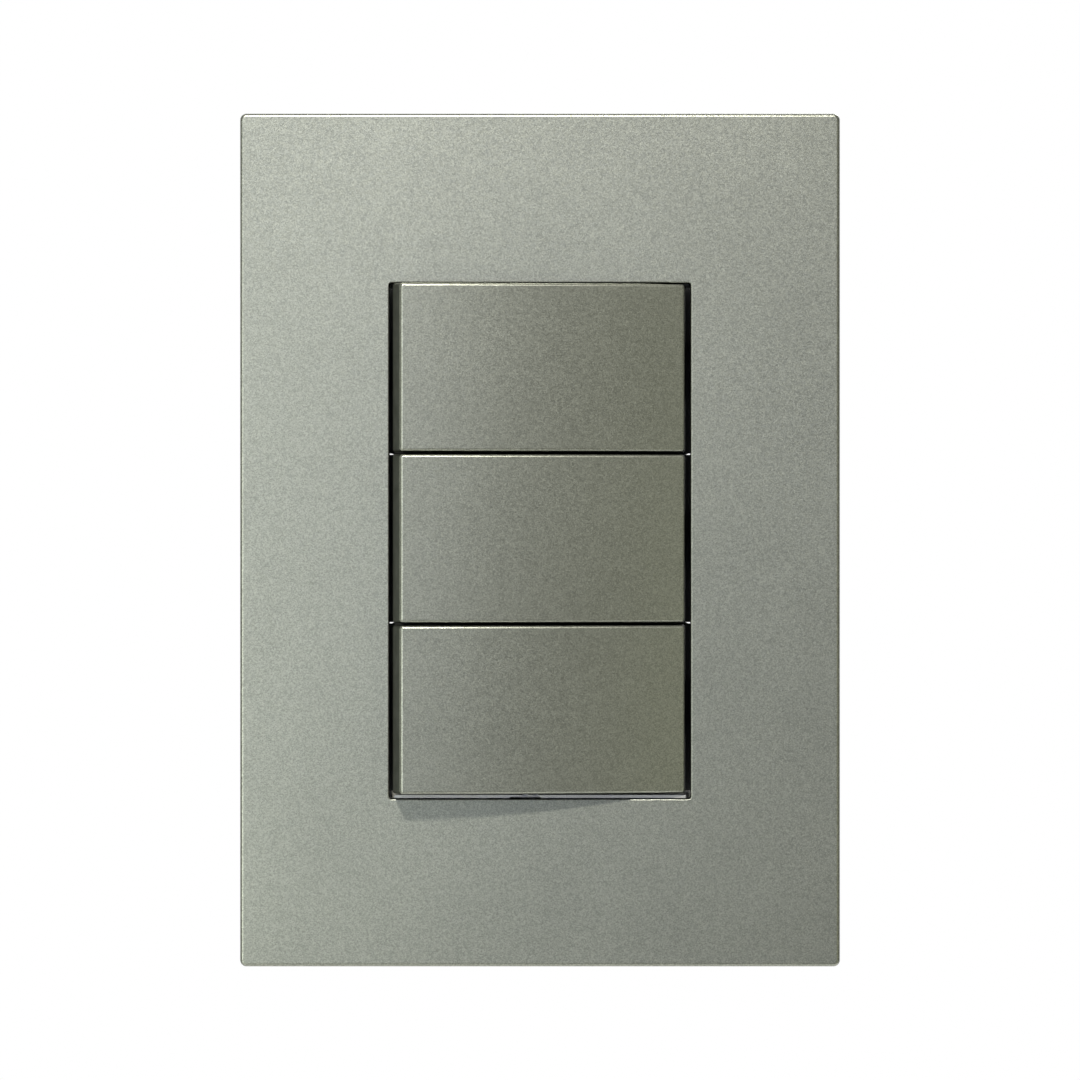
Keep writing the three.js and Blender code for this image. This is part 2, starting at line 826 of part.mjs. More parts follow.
function contactLever() {
  const y = centred(LEVER.thickness / 2);
  const strip = block([LEVER.left, LEVER.right], y, centred(LEVER.halfWidth));
  const toeX = [LEVER.left, LEVER.left + LEVER.thickness];
  const toe = block(toeX, [y[0], y[0] + LEVER.toeHeight], centred(LEVER.halfWidth));
  const through = [y[0] - PAST, y[1] + PAST];
  const notches = [-1, 1].map((side) => {
    const z = sideSpan(side, LEVER.waistHalfWidth, LEVER.halfWidth + PAST);
    return block(centred(LEVER.waistHalfLength), through, z);
  });
  const hole = barY(CONTACT.holeRadius, through, CONTACT.x, 0, SMOOTH.small);
  return cut(join(strip, toe), ...notches, hole);
}

// A domed contact rivet through a strip: the dome stands on side +1 (back) or -1 (front) of it.
function contactRivet(side, thickness) {
  const near = thickness / 2 + FIT;
  const profile = [
    [0, -near - CONTACT.backHeight],
    [CONTACT.backRadius, -near - CONTACT.backHeight],
    [CONTACT.backRadius, -near],
    [CONTACT.shankRadius, -near],
    [CONTACT.shankRadius, near],
    [CONTACT.radius, near],
    [CONTACT.radius, near + CONTACT.rim - FIT],
    [CONTACT.crownRadius, near + CONTACT.height - FIT],
    [0, near + CONTACT.height - FIT],
  ];
  const flipped = profile.map(([r, y]) => [r, -y]).reverse();
  return turned(side > 0 ? profile : flipped, SMOOTH.small);
}

// ---------------------------------------------------------------- the assembly

const COLOURS = {
  paint: { color: 0xa9aca2, roughness: 0.42, metalness: 0.35 },
  charcoal: { color: 0x33352f, roughness: 0.6, metalness: 0 },
  framePlastic: { color: 0xcfcfc8, roughness: 0.5, metalness: 0 },
  housingPlastic: { color: 0x3a3c3d, roughness: 0.6, metalness: 0 },
  bridgePlastic: { color: 0x2e302f, roughness: 0.6, metalness: 0 },
  plungerPlastic: { color: 0xf0eee6, roughness: 0.4, metalness: 0 },
  steel: { color: 0xb9bcc0, roughness: 0.35, metalness: 1 },
  brass: { color: 0xc8a24e, roughness: 0.35, metalness: 1 },
  silver: { color: 0xd9d9d6, roughness: 0.3, metalness: 1 },
};

function place(group, name, solid, finish, [x, y, z] = [0, 0, 0]) {
  const mesh = new THREE.Mesh(geometryOf(solid), new THREE.MeshStandardMaterial(finish));
  mesh.name = name;
  mesh.position.set(x, y, z);
  group.add(mesh);
}

// The key, its cradle, the plunger and its spring, turned together about the cradle's pin.
function rockingGroup(gang) {
  const group = new THREE.Group();
  group.position.y = PIVOT_Y;
  group.rotation.z = THREE.MathUtils.degToRad(ROCK_DEG);
  place(group, `rocker_key_${gang}`, rockerKey(), COLOURS.paint);
  place(group, `rocker_cradle_${gang}`, rockerCradle(), COLOURS.charcoal);
  place(group, `plunger_${gang}`, plunger(), COLOURS.plungerPlastic);
  place(group, `plunger_spring_${gang}`, plungerSpring(), COLOURS.steel);
  return group;
}

// The lever and its contact, tipped the way that the resting plunger holds them.
function leverGroup(gang) {
  const group = new THREE.Group();
  group.position.y = LEVER_Y;
  group.rotation.z = THREE.MathUtils.degToRad(-LEVER_DEG);
  place(group, `contact_lever_${gang}`, contactLever(), COLOURS.brass);
  const rivet = contactRivet(1, LEVER.thickness);
  place(group, `moving_contact_${gang}`, rivet, COLOURS.silver, [CONTACT.x, 0, 0]);
  return group;
}

function gangGroup(gang, z) {
  const group = new THREE.Group();
  group.position.z = z;
  group.add(rockingGroup(gang), leverGroup(gang));
  place(group, `module_bridge_${gang}`, moduleBridge(), COLOURS.bridgePlastic);
  place(group, `switch_housing_${gang}`, switchHousing(), COLOURS.housingPlastic);
  place(group, `common_terminal_${gang}`, commonTerminal(), COLOURS.brass);
  place(group, `fixed_terminal_${gang}`, fixedTerminal(), COLOURS.brass);
  const tabMiddle = CONTACT.fixedTabFront + CONTACT.fixedTabThickness / 2;
  const rivet = contactRivet(-1, CONTACT.fixedTabThickness);
  const rivetAt = [CONTACT.fixedX, tabMiddle, 0];
  place(group, `fixed_contact_${gang}`, rivet, COLOURS.silver, rivetAt);
  for (const [hand, side] of [['common', -1], ['switched', 1]]) {
    const at = [side * TERMINAL.x, 0, TERMINAL.screwZ];
    place(group, `clamp_plate_${hand}_${gang}`, clampPlate(), COLOURS.steel, at);
    place(group, `terminal_screw_${hand}_${gang}`, terminalScrew(), COLOURS.steel, at);
  }
  return group;
}

const rockerSwitch = new THREE.Group();
place(rockerSwitch, 'cover_plate', coverPlate(), COLOURS.paint);
place(rockerSwitch, 'support_frame', supportFrame(), COLOURS.framePlastic);
for (const [end, level] of [['upper', 1], ['lower', -1]]) {
  const at = [0, 0, (level * BOX_SCREW.spacing) / 2];
  place(rockerSwitch, `box_screw_${end}`, boxScrew(), COLOURS.steel, at);
}
GANGS.names.forEach((gang, i) => {
  rockerSwitch.add(gangGroup(gang, GANGS.lift + (1 - i) * GANGS.pitch));
});

export default rockerSwitch;
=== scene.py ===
# A three-gang rocker light switch with its cover plate.
# +X is to the right, +Z is up, the front faces -Y and the wall's surface is the plane y = 0.
# Shapes are built in millimetres and scaled to Blender's metres when a piece is made.

import json
import math

import bmesh
import bpy
from mathutils import Matrix, Vector

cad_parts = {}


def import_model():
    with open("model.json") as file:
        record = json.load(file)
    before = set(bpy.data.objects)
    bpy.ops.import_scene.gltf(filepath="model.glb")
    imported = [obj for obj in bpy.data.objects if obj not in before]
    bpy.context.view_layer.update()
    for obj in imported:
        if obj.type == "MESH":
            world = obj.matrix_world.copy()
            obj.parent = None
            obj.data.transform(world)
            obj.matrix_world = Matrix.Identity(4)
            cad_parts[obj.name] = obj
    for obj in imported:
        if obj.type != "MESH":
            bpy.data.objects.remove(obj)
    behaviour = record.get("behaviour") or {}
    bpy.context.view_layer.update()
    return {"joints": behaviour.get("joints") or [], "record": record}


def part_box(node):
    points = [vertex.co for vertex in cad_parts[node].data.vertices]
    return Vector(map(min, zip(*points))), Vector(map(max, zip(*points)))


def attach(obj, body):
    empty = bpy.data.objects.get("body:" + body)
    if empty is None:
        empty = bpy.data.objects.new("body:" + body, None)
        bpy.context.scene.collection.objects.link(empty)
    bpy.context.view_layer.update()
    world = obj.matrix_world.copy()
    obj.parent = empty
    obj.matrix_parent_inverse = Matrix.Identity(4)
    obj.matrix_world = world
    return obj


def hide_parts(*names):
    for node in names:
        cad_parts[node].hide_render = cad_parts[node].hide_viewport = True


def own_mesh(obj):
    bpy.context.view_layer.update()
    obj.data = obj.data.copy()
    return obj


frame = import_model()

MM = 0.001
RECORD = frame["record"]
JOINTS = {joint["name"]: joint for joint in frame["joints"]}
BODY_OF = {node: body for body, nodes in RECORD["behaviour"]["bodies"].items() for node in nodes}
GANGS = ("upper", "middle", "lower")


def box_mm(node):
    """Lowest and highest corner of a CAD node, in millimetres."""
    low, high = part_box(node)
    return low / MM, high / MM


# ---------------------------------------------------------------- sizes, in millimetres

COVER_LOW, COVER_HIGH = box_mm("cover_plate")
COVER = {
    "half_x": COVER_HIGH.x,
    "half_z": COVER_HIGH.z,
    "front": COVER_LOW.y,
    "draft": 0.2,
    "edge": 0.5,
    "corner": 1.1,
    "wall": 1.8,
    "face": 2.0,
    "rim_round": 0.2,
    "least_corner": 0.3,
    "inner_corner": 0.6,
    "paint_depth": 1.8,  # how far behind the front the paint reaches inside the opening
    "paint_reach": 0.5,  # how far in from its outline the sides count as painted
}

OPENING = {
    "half_x": 21.25,
    "half_z": 36.32,
    "drop": 0.12,
    "corner": 0.4,
    "edge": 0.18,
    "lip": 1.2,
    "lip_end": -4.2,
    "lip_round": 0.15,
}

SNAP = {
    "x": 33.0,
    "z": 30.0,
    "post_half": 0.8,
    "post_length": 8.0,
    "post_front": -5.6,
    "catch_depth": 0.6,
    "catch_height": 0.7,
    "tab_gap": 0.9,
    "tab_thickness": 1.3,
    "tab_length": 6.0,
    "tab_end": -3.4,
    "nib_depth": 0.6,
    "nib_height": 0.6,
}

FRAME_LOW, FRAME_HIGH = box_mm("support_frame")
FRAME = {
    "half_x": FRAME_HIGH.x,
    "half_z": FRAME_HIGH.z,
    "front": -2.4,
    "back": -0.4,
    "corner": 4.0,
    "window_x": 22.6,
    "window_z": 35.6,
    "window_corner": 0.4,
    "rib_in": 24.8,
    "rib_out": 26.0,
    "rib_height": 1.2,
    "rib_half": 35.0,
    "hole_radius": 2.1,
    "hole_x": 30.0,
    "hole_z": 47.0,
    "pad_x": 9.0,
    "pad_z": 3.7,
    "pocket_depth": 0.7,
    "pocket_corner": 0.8,
}
SIDE_POCKET = {"x": 30.6, "half_x": 4.6, "half_z": 4.9, "levels": (-18.0, -6.0, 6.0, 18.0)}
CORNER_POCKET = {"x": 18.2, "half_x": 6.4, "half_z": 3.4, "levels": (-47.5, 47.5)}

SILL = {
    "half_x": 20.5,
    "top": -35.9,
    "thickness": 0.42,
    "front": FRAME_LOW.y,
    "notch_depth": 2.0,
    "notches": ((-2.5, -1.7), (-1.0, -0.25)),
    "undercut": (-4.2, 0.15),
    "undercut_height": 0.2,
}

BOX_SCREW = {
    "spacing": 83.5,
    "slot_length": 9.0,
    "slot_width": 4.0,
    "head_radius": 3.3,
    "head_height": 2.1,
    "head_back": -2.5,
    "shank": 1.75,
    "tip": 18.0,
    "drive_width": 0.9,
    "drive_depth": 1.0,
}

PIVOT = Vector(JOINTS["middle_rocker_pivot"]["pos_m"]) / MM
ROCK = math.radians(JOINTS["middle_rocker_pivot"]["range_deg"][1]) / 2
LEVER_PIVOT = Vector(JOINTS["middle_lever_pivot"]["pos_m"]) / MM
TIP = math.radians(JOINTS["middle_lever_pivot"]["range_deg"][1]) / 2

# the key, the cradle and the plunger are measured from the rocking pin, with the key level
KEY = {
    "half_x": 20.15,
    "half_z": 11.775,
    "front": -4.35,
    "crown_radius": 210.0,
    "back": 0.6,
    "end_draft": 0.6,
    "side_draft": 0.1,
    "corner": 0.45,
    "inner_corner": 0.5,
    "edge": 0.42,
    "face": 1.75,
    "wall": 1.15,
    "rib_x": 11.3,
    "rib_thickness": 1.2,
    "rib_half": 6.0,
    "rib_end": 0.1,
    "hook_reach": 1.0,
    "hook_height": 0.7,
}

CRADLE = {
    "half_x": 10.7,
    "half_z": 8.2,
    "front": -2.3,
    "thickness": 1.5,
    "cheek": 1.2,
    "cheek_half": 3.2,
    "cheek_end": 2.2,
    "pin_radius": 1.5,
    "pin_reach": 9.8,
    "barrel_radius": 3.1,
    "barrel_end": 10.8,
    "bore_radius": 2.1,
    "bore_start": 2.3,
}

PLUNGER = {
    "spigot_start": 6.8,
    "spigot_radius": 1.0,
    "spigot_chamfer": 0.2,
    "guide_start": 8.3,
    "guide_end": 10.9,
    "guide_radius": 1.95,
    "guide_chamfer": 0.1,
    "stem_radius": 1.35,
    "nose_length": 1.0,
    "tip": 16.0,
}

SPRING = {
    "radius": 1.6,
    "wire": 0.24,
    "start": 2.65,
    "end": 7.95,
    "open_turns": 5,
    "closed_turns": 1,
    "closed_pitch": 2.1,  # in wire radii
    "turn_steps": 40,
    "wire_sides": 12,
}

BRIDGE = {
    "half_x": 22.0,
    "half_z": 11.9,
    "front": 0.9,
    "back": 2.4,
    "slot_x": 4.8,
    "slot_z": 3.6,
    "ear_near": 8.6,
    "ear_far": 9.9,
    "ear_radius": 2.3,
    "ear_hole": 1.62,
    "ear_foot": 4.2,
    "clip_near": 21.45,
    "clip_far": 22.3,
    "clip_hook": 23.6,
    "clip_half": 4.0,
    "clip_front": -3.4,
    "hook_thickness": 0.7,
    "shoulder": 23.8,
    "shoulder_front": -0.1,
}

HOUSING = {
    "half_x": 22.0,
    "half_z": 11.9,
    "front": 2.5,
    "back": 22.0,
    "wall": 1.4,
    "back_wall": 1.6,
    "corner": 1.2,
    "screw_hole": 3.15,
    "wire_hole": 1.8,
    "groove_half": 0.6,
    "groove_depth": 0.8,
    "groove_x": 8.0,
}

TERMINAL = {
    "x": 14.5,
    "screw_z": -4.5,
    "wire_z": 4.8,
    "half_x": 3.9,
    "half_z": 7.6,
    "front": 15.0,
    "back": 16.0,
    "hole": 1.85,
    "strip_half": 2.4,
    "clamp_x": 3.5,
    "clamp_z": 3.6,
    "clamp_front": 16.7,
    "clamp_back": 17.9,
    "clamp_lip": 0.5,
    "groove_depth": 0.25,
    "groove_half": 0.15,
    "groove_z": 2.4,
    "groove_pitch": 0.75,
}

TERMINAL_SCREW = {
    "head_front": 18.0,
    "head_back": 21.4,
    "head_radius": 2.85,
    "shank": 1.7,
    "tip": 12.4,
    "drive_width": 0.9,
    "drive_depth": 1.2,
}

# the lever is measured from the knife edge that it tips on, with the lever level
LEVER = {
    "left": -7.0,
    "right": 12.8,
    "half": 0.4,
    "half_z": 3.2,
    "waist_x": 1.4,
    "waist_z": 2.4,
    "toe": 1.6,
}

KNIFE = {
    "half": 0.45,
    "half_z": 2.6,
    "outer_z": 4.1,
    "prong_near": 2.8,
    "prong_top": 8.2,
    "root": 10.8,
}

CONTACT = {
    "x": 11.0,
    "radius": 1.5,
    "rim": 0.4,
    "height": 0.8,
    "shank": 0.75,
    "hole": 0.9,
    "back_radius": 1.2,
    "back_height": 0.3,
    "back_chamfer": 0.08,
    "fixed_x": 10.73,
    "tab_front": 12.72,
    "tab_back": 13.52,
    "tab_in": 8.9,
    "tab_out": 13.5,
}

THREAD = {
    "pitch": 0.6,
    "depth": 0.32,
    "runout": 0.8,
    "steepness": 1.4,  # of its flanks, beside those of a thread with no flats
    "flat": 0.2,
    "tip": 0.45,  # the radius of the blunt tip, as a share of the shank's
}

# a pan head's profile from near the middle of its top to its base, in shares of radius and height
PAN_HEAD = ((0.02, 0), (0.5, 0), (0.68, 0.06), (0.82, 0.17), (0.92, 0.34), (0.98, 0.55), (1, 0.8), (1, 1))

FIT = 0.1  # the gap between two pieces that rest on each other
OVER = 0.3  # how far joined solids run into each other
PAST = 1.0  # how far a cutting shape runs past what it cuts
HAIR = 0.01  # the straight bit left at a slot's round end, so that no two points of it coincide
WELD = 1e-4  # points nearer to each other than this become one

SOFT = 0.15  # the rounding of moulded edges
FINE = 0.06  # the rounding of stamped edges
CORNER_STEPS = 8
CROWN_STEPS = 10  # strips along a key's crowned face
ROUND_STEPS = 6
EAR_STEPS = 24
SIDES = 64
RIVET_SIDES = 48
THREAD_SIDES = 36
THREAD_RINGS = 8  # rings of points in one turn of a thread
SHARP = math.radians(35)
FLAT = math.radians(0.5)  # faces that turn by less than this are joined

# ---------------------------------------------------------------- mesh building


def arc(centre, radius, start_deg, end_deg, steps=ROUND_STEPS):
    """Points on an arc in the plane of a profile."""
    points = []
    for i in range(steps + 1):
        angle = math.radians(start_deg + (end_deg - start_deg) * i / steps)
        points.append((centre[0] + radius * math.cos(angle), centre[1] + radius * math.sin(angle)))
    return points


def ring(half_x, half_z, corner, y, middle=(0, 0)):
    """A rounded rectangle in X and Z at one y, counter-clockwise as seen from the front."""
    points = []
    for quarter, (side_x, side_z) in enumerate(((1, -1), (1, 1), (-1, 1), (-1, -1))):
        for i in range(CORNER_STEPS + 1):
            angle = math.radians(90 * (quarter - 1 + i / CORNER_STEPS))
            x = side_x * (half_x - corner) + corner * math.cos(angle)
            z = side_z * (half_z - corner) + corner * math.sin(angle)
            points.append((middle[0] + x, y, middle[1] + z))
    return points


def skin(rings, closed=False):
    """A closed skin over rings of equal length, with its ends capped or joined to each other."""
    bm = bmesh.new()
    rows = [[bm.verts.new(point) for point in points] for points in rings]
    pairs = list(zip(rows, rows[1:]))
    if closed:
        pairs.append((rows[-1], rows[0]))
    else:
        bm.faces.new(rows[0])
        bm.faces.new(rows[-1])
    count = len(rows[0])
    for near, far in pairs:
        for i in range(count):
            j = (i + 1) % count
            bm.faces.new((near[i], near[j], far[j], far[i]))
    bmesh.ops.recalc_face_normals(bm, faces=bm.faces)
    return bm


def slab(half_x, half_z, corner, front, back, middle=(0, 0)):
    """A plate with rounded corners and square edges."""
    return skin([ring(half_x, half_z, corner, y, middle) for y in (front, back)])


def block(x, y, z):
    """A box between two values on each axis."""
    bm = bmesh.new()
    bmesh.ops.create_cube(bm, size=1)
    size = Matrix.Diagonal((x[1] - x[0], y[1] - y[0], z[1] - z[0], 1))
    middle = Vector((sum(x) / 2, sum(y) / 2, sum(z) / 2))
    bm.transform(Matrix.Translation(middle) @ size)
    return bm


def side_span(side, near, far):
    """The stretch from near to far on one side of the middle, lowest value first."""
    return (near, far) if side > 0 else (-far, -near)


def centred(half):
    return (-half, half)


def turned(profile, sides=SIDES):
    """A solid of revolution about Y; the profile is (radius, y) pairs that start and end on it."""
    bm = bmesh.new()
    rows = []
    for radius, y in profile:
        if radius == 0:
            rows.append([bm.verts.new((0, y, 0))])
            continue
        turn = [2 * math.pi * i / sides for i in range(sides)]
        rows.append([bm.verts.new((radius * math.cos(a), y, radius * math.sin(a))) for a in turn])
    for near, far in zip(rows, rows[1:]):
        for i in range(sides):
            j = (i + 1) % sides
            if len(near) == 1:
                bm.faces.new((near[0], far[j], far[i]))
            elif len(far) == 1:
                bm.faces.new((near[i], near[j], far[0]))
            else:
                bm.faces.new((near[i], near[j], far[j], far[i]))
    bmesh.ops.recalc_face_normals(bm, faces=bm.faces)
    return bm


def bar_y(radius, y, x=0, z=0):
    """A round bar along Y."""
    bm = turned([(0, y[0]), (radius, y[0]), (radius, y[1]), (0, y[1])])
    bm.transform(Matrix.Translation((x, 0, z)))
    return bm


def bar_z(radius, z, x=0, y=0):
    """A round bar along Z."""
    bm = turned([(0, z[0]), (radius, z[0]), (radius, z[1]), (0, z[1])])
    bm.transform(Matrix.Translation((x, y, 0)) @ Matrix.Rotation(math.pi / 2, 4, "X"))
    return bm


def prism_z(corners, z):
    """An outline in X and Y, carried along Z."""
    return skin([[(x, y, level) for x, y in corners] for level in z])


def as_object(bm):
    mesh = bpy.data.meshes.new("work")
    bm.to_mesh(mesh)
    bm.free()
    obj = bpy.data.objects.new("work", mesh)
    bpy.context.scene.collection.objects.link(obj)
    return obj


def combine(base, add=(), cut=()):
    """Joins closed meshes to the base one, then cuts others out of it."""
    body = as_object(base)
    work = [body]
    for operation, parts in (("UNION", add), ("DIFFERENCE", cut)):
        for part in parts:
            tool = as_object(part)
            work.append(tool)
            modifier = body.modifiers.new(operation, "BOOLEAN")
            modifier.operation = operation
            modifier.solver = "EXACT"
            modifier.object = tool
    result = bmesh.new()
    result.from_object(body, bpy.context.evaluated_depsgraph_get())
    for obj in work:
        mesh = obj.data
        bpy.data.objects.remove(obj)
        bpy.data.meshes.remove(mesh)
    bmesh.ops.remove_doubles(result, verts=result.verts, dist=WELD)
    bmesh.ops.dissolve_limit(result, angle_limit=FLAT, verts=result.verts, edges=result.edges)
    return result


def soften(bm, width=SOFT):
    """Rounds the sharp outward edges."""
    sharp = [
        edge
        for edge in bm.edges
        if edge.is_manifold and edge.is_convex and edge.calc_face_angle() > SHARP
    ]
    look = {"segments": 2, "profile": 0.5, "affect": "EDGES", "clamp_overlap": True}
    bmesh.ops.bevel(bm, geom=sharp, offset=width, **look)
    return bm


def thread_depth(turns):
    """Share of a thread's depth, from its flat crest to its root, at a place along its turns."""
    slope = abs(2 * (turns % 1) - 1)
    return min(1, max(0, slope * THREAD["steepness"] - THREAD["flat"]))


def screw(profile, shank, y, direction):
    """A screw about Y: a turned profile, then a threaded shank that ends in a blunt cone."""
    pitch = THREAD["pitch"]
    length = abs(y[1] - y[0])
    count = round(length / pitch * THREAD_RINGS)
    rows = [[(radius, level)] * THREAD_SIDES for radius, level in profile]
    for i in range(count + 1):
        along = length * i / count
        fade = min(1, along / THREAD["runout"])
        taper = min(1, (length - along) / shank + THREAD["tip"])
        row = []
        for k in range(THREAD_SIDES):
            groove = THREAD["depth"] * fade * thread_depth(along / pitch - k / THREAD_SIDES)
            row.append(((shank - groove) * taper, y[0] + direction * along))
        rows.append(row)
    turn = [2 * math.pi * k / THREAD_SIDES for k in range(THREAD_SIDES)]
    rings = []
    for row in rows:
        rings.append([(r * math.cos(a), level, r * math.sin(a)) for (r, level), a in zip(row, turn)])
    return skin(rings)


def pan_head(radius, top, base):
    """The profile of a pan head from its top to its base, as (radius, y)."""
    return [(across * radius, top + down * (base - top)) for across, down in PAN_HEAD]


# ---------------------------------------------------------------- materials

# millimetres across the features of each kind of variation
CLOUD_SIZE = 14
DULL_SPOT = 0.3
PEEL_SIZE = 0.22
FLOW_SIZE = 7
RUB_SIZE = 2.5
TARNISH_SIZE = 3.5
HANDLED_SIZE = 1.6


class Finish:
    """A material whose colour, roughness and surface vary with position on the object."""

    def __init__(self, name, metallic=0.0, specular=0.5):
        self.material = bpy.data.materials.new(name)
        self.material.use_nodes = True
        tree = self.material.node_tree
        self.nodes = tree.nodes
        self.links = tree.links
        self.shader = self.nodes["Principled BSDF"]
        self.shader.inputs["Metallic"].default_value = metallic
        self.shader.inputs["Specular IOR Level"].default_value = specular
        self.place = self.nodes.new("ShaderNodeTexCoord").outputs["Object"]

    def stretched(self, scale):
        mapping = self.nodes.new("ShaderNodeMapping")
        mapping.inputs["Scale"].default_value = scale
        self.links.new(self.place, mapping.inputs["Vector"])
        return mapping.outputs["Vector"]

    def noise(self, size, detail=2.0, stretch=None):
        """Noise with features about size millimetres across, from 0 to 1."""
        node = self.nodes.new("ShaderNodeTexNoise")
        node.inputs["Scale"].default_value = 1 / (size * MM)
        node.inputs["Detail"].default_value = detail
        vector = self.stretched(stretch) if stretch else self.place
        self.links.new(vector, node.inputs["Vector"])
        return node.outputs["Fac"]

    def cells(self, size):
        """A random value from 0 to 1 for each cell of about size millimetres."""
        node = self.nodes.new("ShaderNodeTexVoronoi")
        node.inputs["Scale"].default_value = 1 / (size * MM)
        self.links.new(self.place, node.inputs["Vector"])
        split = self.nodes.new("ShaderNodeSeparateColor")
        self.links.new(node.outputs["Color"], split.inputs["Color"])
        return split.outputs["Red"]

    def between(self, value, low, high, start=0.3, end=0.7):
        """The value's stretch from start to end, as numbers from low to high."""
        node = self.nodes.new("ShaderNodeMapRange")
        for socket, number in (("From Min", start), ("From Max", end), ("To Min", low), ("To Max", high)):
            node.inputs[socket].default_value = number
        self.links.new(value, node.inputs["Value"])
        return node.outputs["Result"]

    def product(self, first, second):
        node = self.nodes.new("ShaderNodeMath")
        node.operation = "MULTIPLY"
        self.links.new(first, node.inputs[0])
        self.links.new(second, node.inputs[1])
        return node.outputs["Value"]

    def colour(self, base, brightness):
        """The base colour, made lighter and darker by a varying brightness about 1."""
        node = self.nodes.new("ShaderNodeVectorMath")
        node.operation = "SCALE"
        node.inputs[0].default_value = base
        self.links.new(brightness, node.inputs["Scale"])
        self.links.new(node.outputs["Vector"], self.shader.inputs["Base Color"])

    def roughness(self, value):
        self.links.new(value, self.shader.inputs["Roughness"])

    def bump(self, height, depth):
        """Relief of depth millimetres."""
        node = self.nodes.new("ShaderNodeBump")
        node.inputs["Distance"].default_value = depth * MM
        self.links.new(height, node.inputs["Height"])
        self.links.new(node.outputs["Normal"], self.shader.inputs["Normal"])


def metallic_paint(name, base, roughness, flake=0.14, spread=0.24, depth=0.006):
    """Satin paint full of fine flakes, a little cloudy over the length of the plate."""
    made = Finish(name, metallic=0.8)
    flakes = made.between(made.cells(flake), 1 - spread, 1 + spread, start=0, end=1)
    clouds = made.between(made.noise(CLOUD_SIZE, detail=3), 0.97, 1.03)
    made.colour(base, made.product(flakes, clouds))
    dull = made.cells(DULL_SPOT)
    made.roughness(made.between(dull, roughness - 0.03, roughness + 0.03, start=0, end=1))
    made.bump(made.noise(PEEL_SIZE, detail=1), depth)
    return made.material


def moulded(name, base, roughness, grain=0.25, spread=0.12, depth=0.01, metallic=0.0, specular=0.5):
    """Moulded plastic with a fine spark-eroded texture and slight flow marks."""
    made = Finish(name, metallic, specular)
    flow = made.between(made.noise(FLOW_SIZE, detail=4), 1 - spread, 1 + spread)
    speckle = made.between(made.noise(grain), 1 - spread / 2, 1 + spread / 2)
    made.colour(base, made.product(flow, speckle))
    rubbed = made.noise(RUB_SIZE, detail=3)
    made.roughness(made.between(rubbed, roughness - 0.06, roughness + 0.06))
    made.bump(made.noise(grain, detail=3), depth)
    return made.material


def rolled_metal(name, base, roughness, grain, stretch, spread=0.1, depth=0.004):
    """Metal with the streaks of rolling or drawing along one way, and dull patches."""
    made = Finish(name, metallic=1.0)
    streaks = made.between(made.noise(grain, detail=3, stretch=stretch), 1 - spread, 1 + spread)
    patches = made.between(made.noise(TARNISH_SIZE, detail=4), 1 - spread, 1 + spread / 2)
    made.colour(base, made.product(streaks, patches))
    handled = made.noise(HANDLED_SIZE, detail=3)
    made.roughness(made.between(handled, roughness - 0.08, roughness + 0.1))
    made.bump(made.noise(grain, detail=2, stretch=stretch), depth)
    return made.material


NYLON = {"roughness": 0.55, "grain": 0.4, "spread": 0.2, "depth": 0.02}
ALL_WAYS = (1, 1, 1)
ALONG_X = (0.15, 1, 1)

PAINT = metallic_paint("silver_paint", (0.45, 0.47, 0.42), roughness=0.35)
CHARCOAL = moulded("cradle_plastic", (0.018, 0.020, 0.015), roughness=0.5, specular=0.25)
FRAME_PLASTIC = moulded("frame_plastic", (0.6, 0.6, 0.56), roughness=0.45, spread=0.04)
# painted highlight: the ledge under the lowest key is moulded with the frame, but is given a much
# lighter, shinier plastic so that it shows as a bright strip
SILL_PAINTED_HIGHLIGHT = moulded("sill_painted_highlight", (0.9, 0.9, 0.86), roughness=0.35, spread=0.04, metallic=0.8)
HOUSING_NYLON = moulded("housing_plastic", (0.040, 0.043, 0.045), **NYLON)
BRIDGE_NYLON = moulded("bridge_plastic", (0.022, 0.024, 0.023), **NYLON)
ACETAL = moulded("plunger_plastic", (0.83, 0.81, 0.74), roughness=0.32, spread=0.03, depth=0.003)
ZINC = rolled_metal("zinc_steel", (0.60, 0.61, 0.63), roughness=0.3, grain=0.3, stretch=ALL_WAYS)
WIRE_STEEL = rolled_metal("spring_steel", (0.48, 0.49, 0.5), roughness=0.3, grain=0.12, stretch=ALL_WAYS)
BRASS = rolled_metal("brass", (0.72, 0.52, 0.23), roughness=0.33, grain=0.2, stretch=ALONG_X)
SILVER = rolled_metal("silver_alloy", (0.82, 0.81, 0.78), roughness=0.28, grain=0.25, stretch=ALL_WAYS)

# ---------------------------------------------------------------- making a piece


def make(node, bm, materials, at=Matrix.Identity(4), second=None):
    """Turns a mesh in millimetres into the piece that stands for a CAD node.

    A face takes the second material where second(its middle, in the mesh's own place) holds.
    """
    if second:
        for face in bm.faces:
            face.material_index = int(second(face.calc_center_median()))
    for face in bm.faces:
        face.smooth = True
    bm.transform(Matrix.Scale(MM, 4) @ at)
    mesh = bpy.data.meshes.new(node)
    bm.to_mesh(mesh)
    bm.free()
    mesh.set_sharp_from_angle(angle=SHARP)
    for material in materials:
        mesh.materials.append(material)
    obj = bpy.data.objects.new(f"{node}_shown", mesh)
    bpy.context.scene.collection.objects.link(obj)
    normals = obj.modifiers.new("normals", "WEIGHTED_NORMAL")
    normals.keep_sharp = True
    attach(obj, BODY_OF[node])
    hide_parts(node)
    return obj


# ---------------------------------------------------------------- the cover plate and its frame


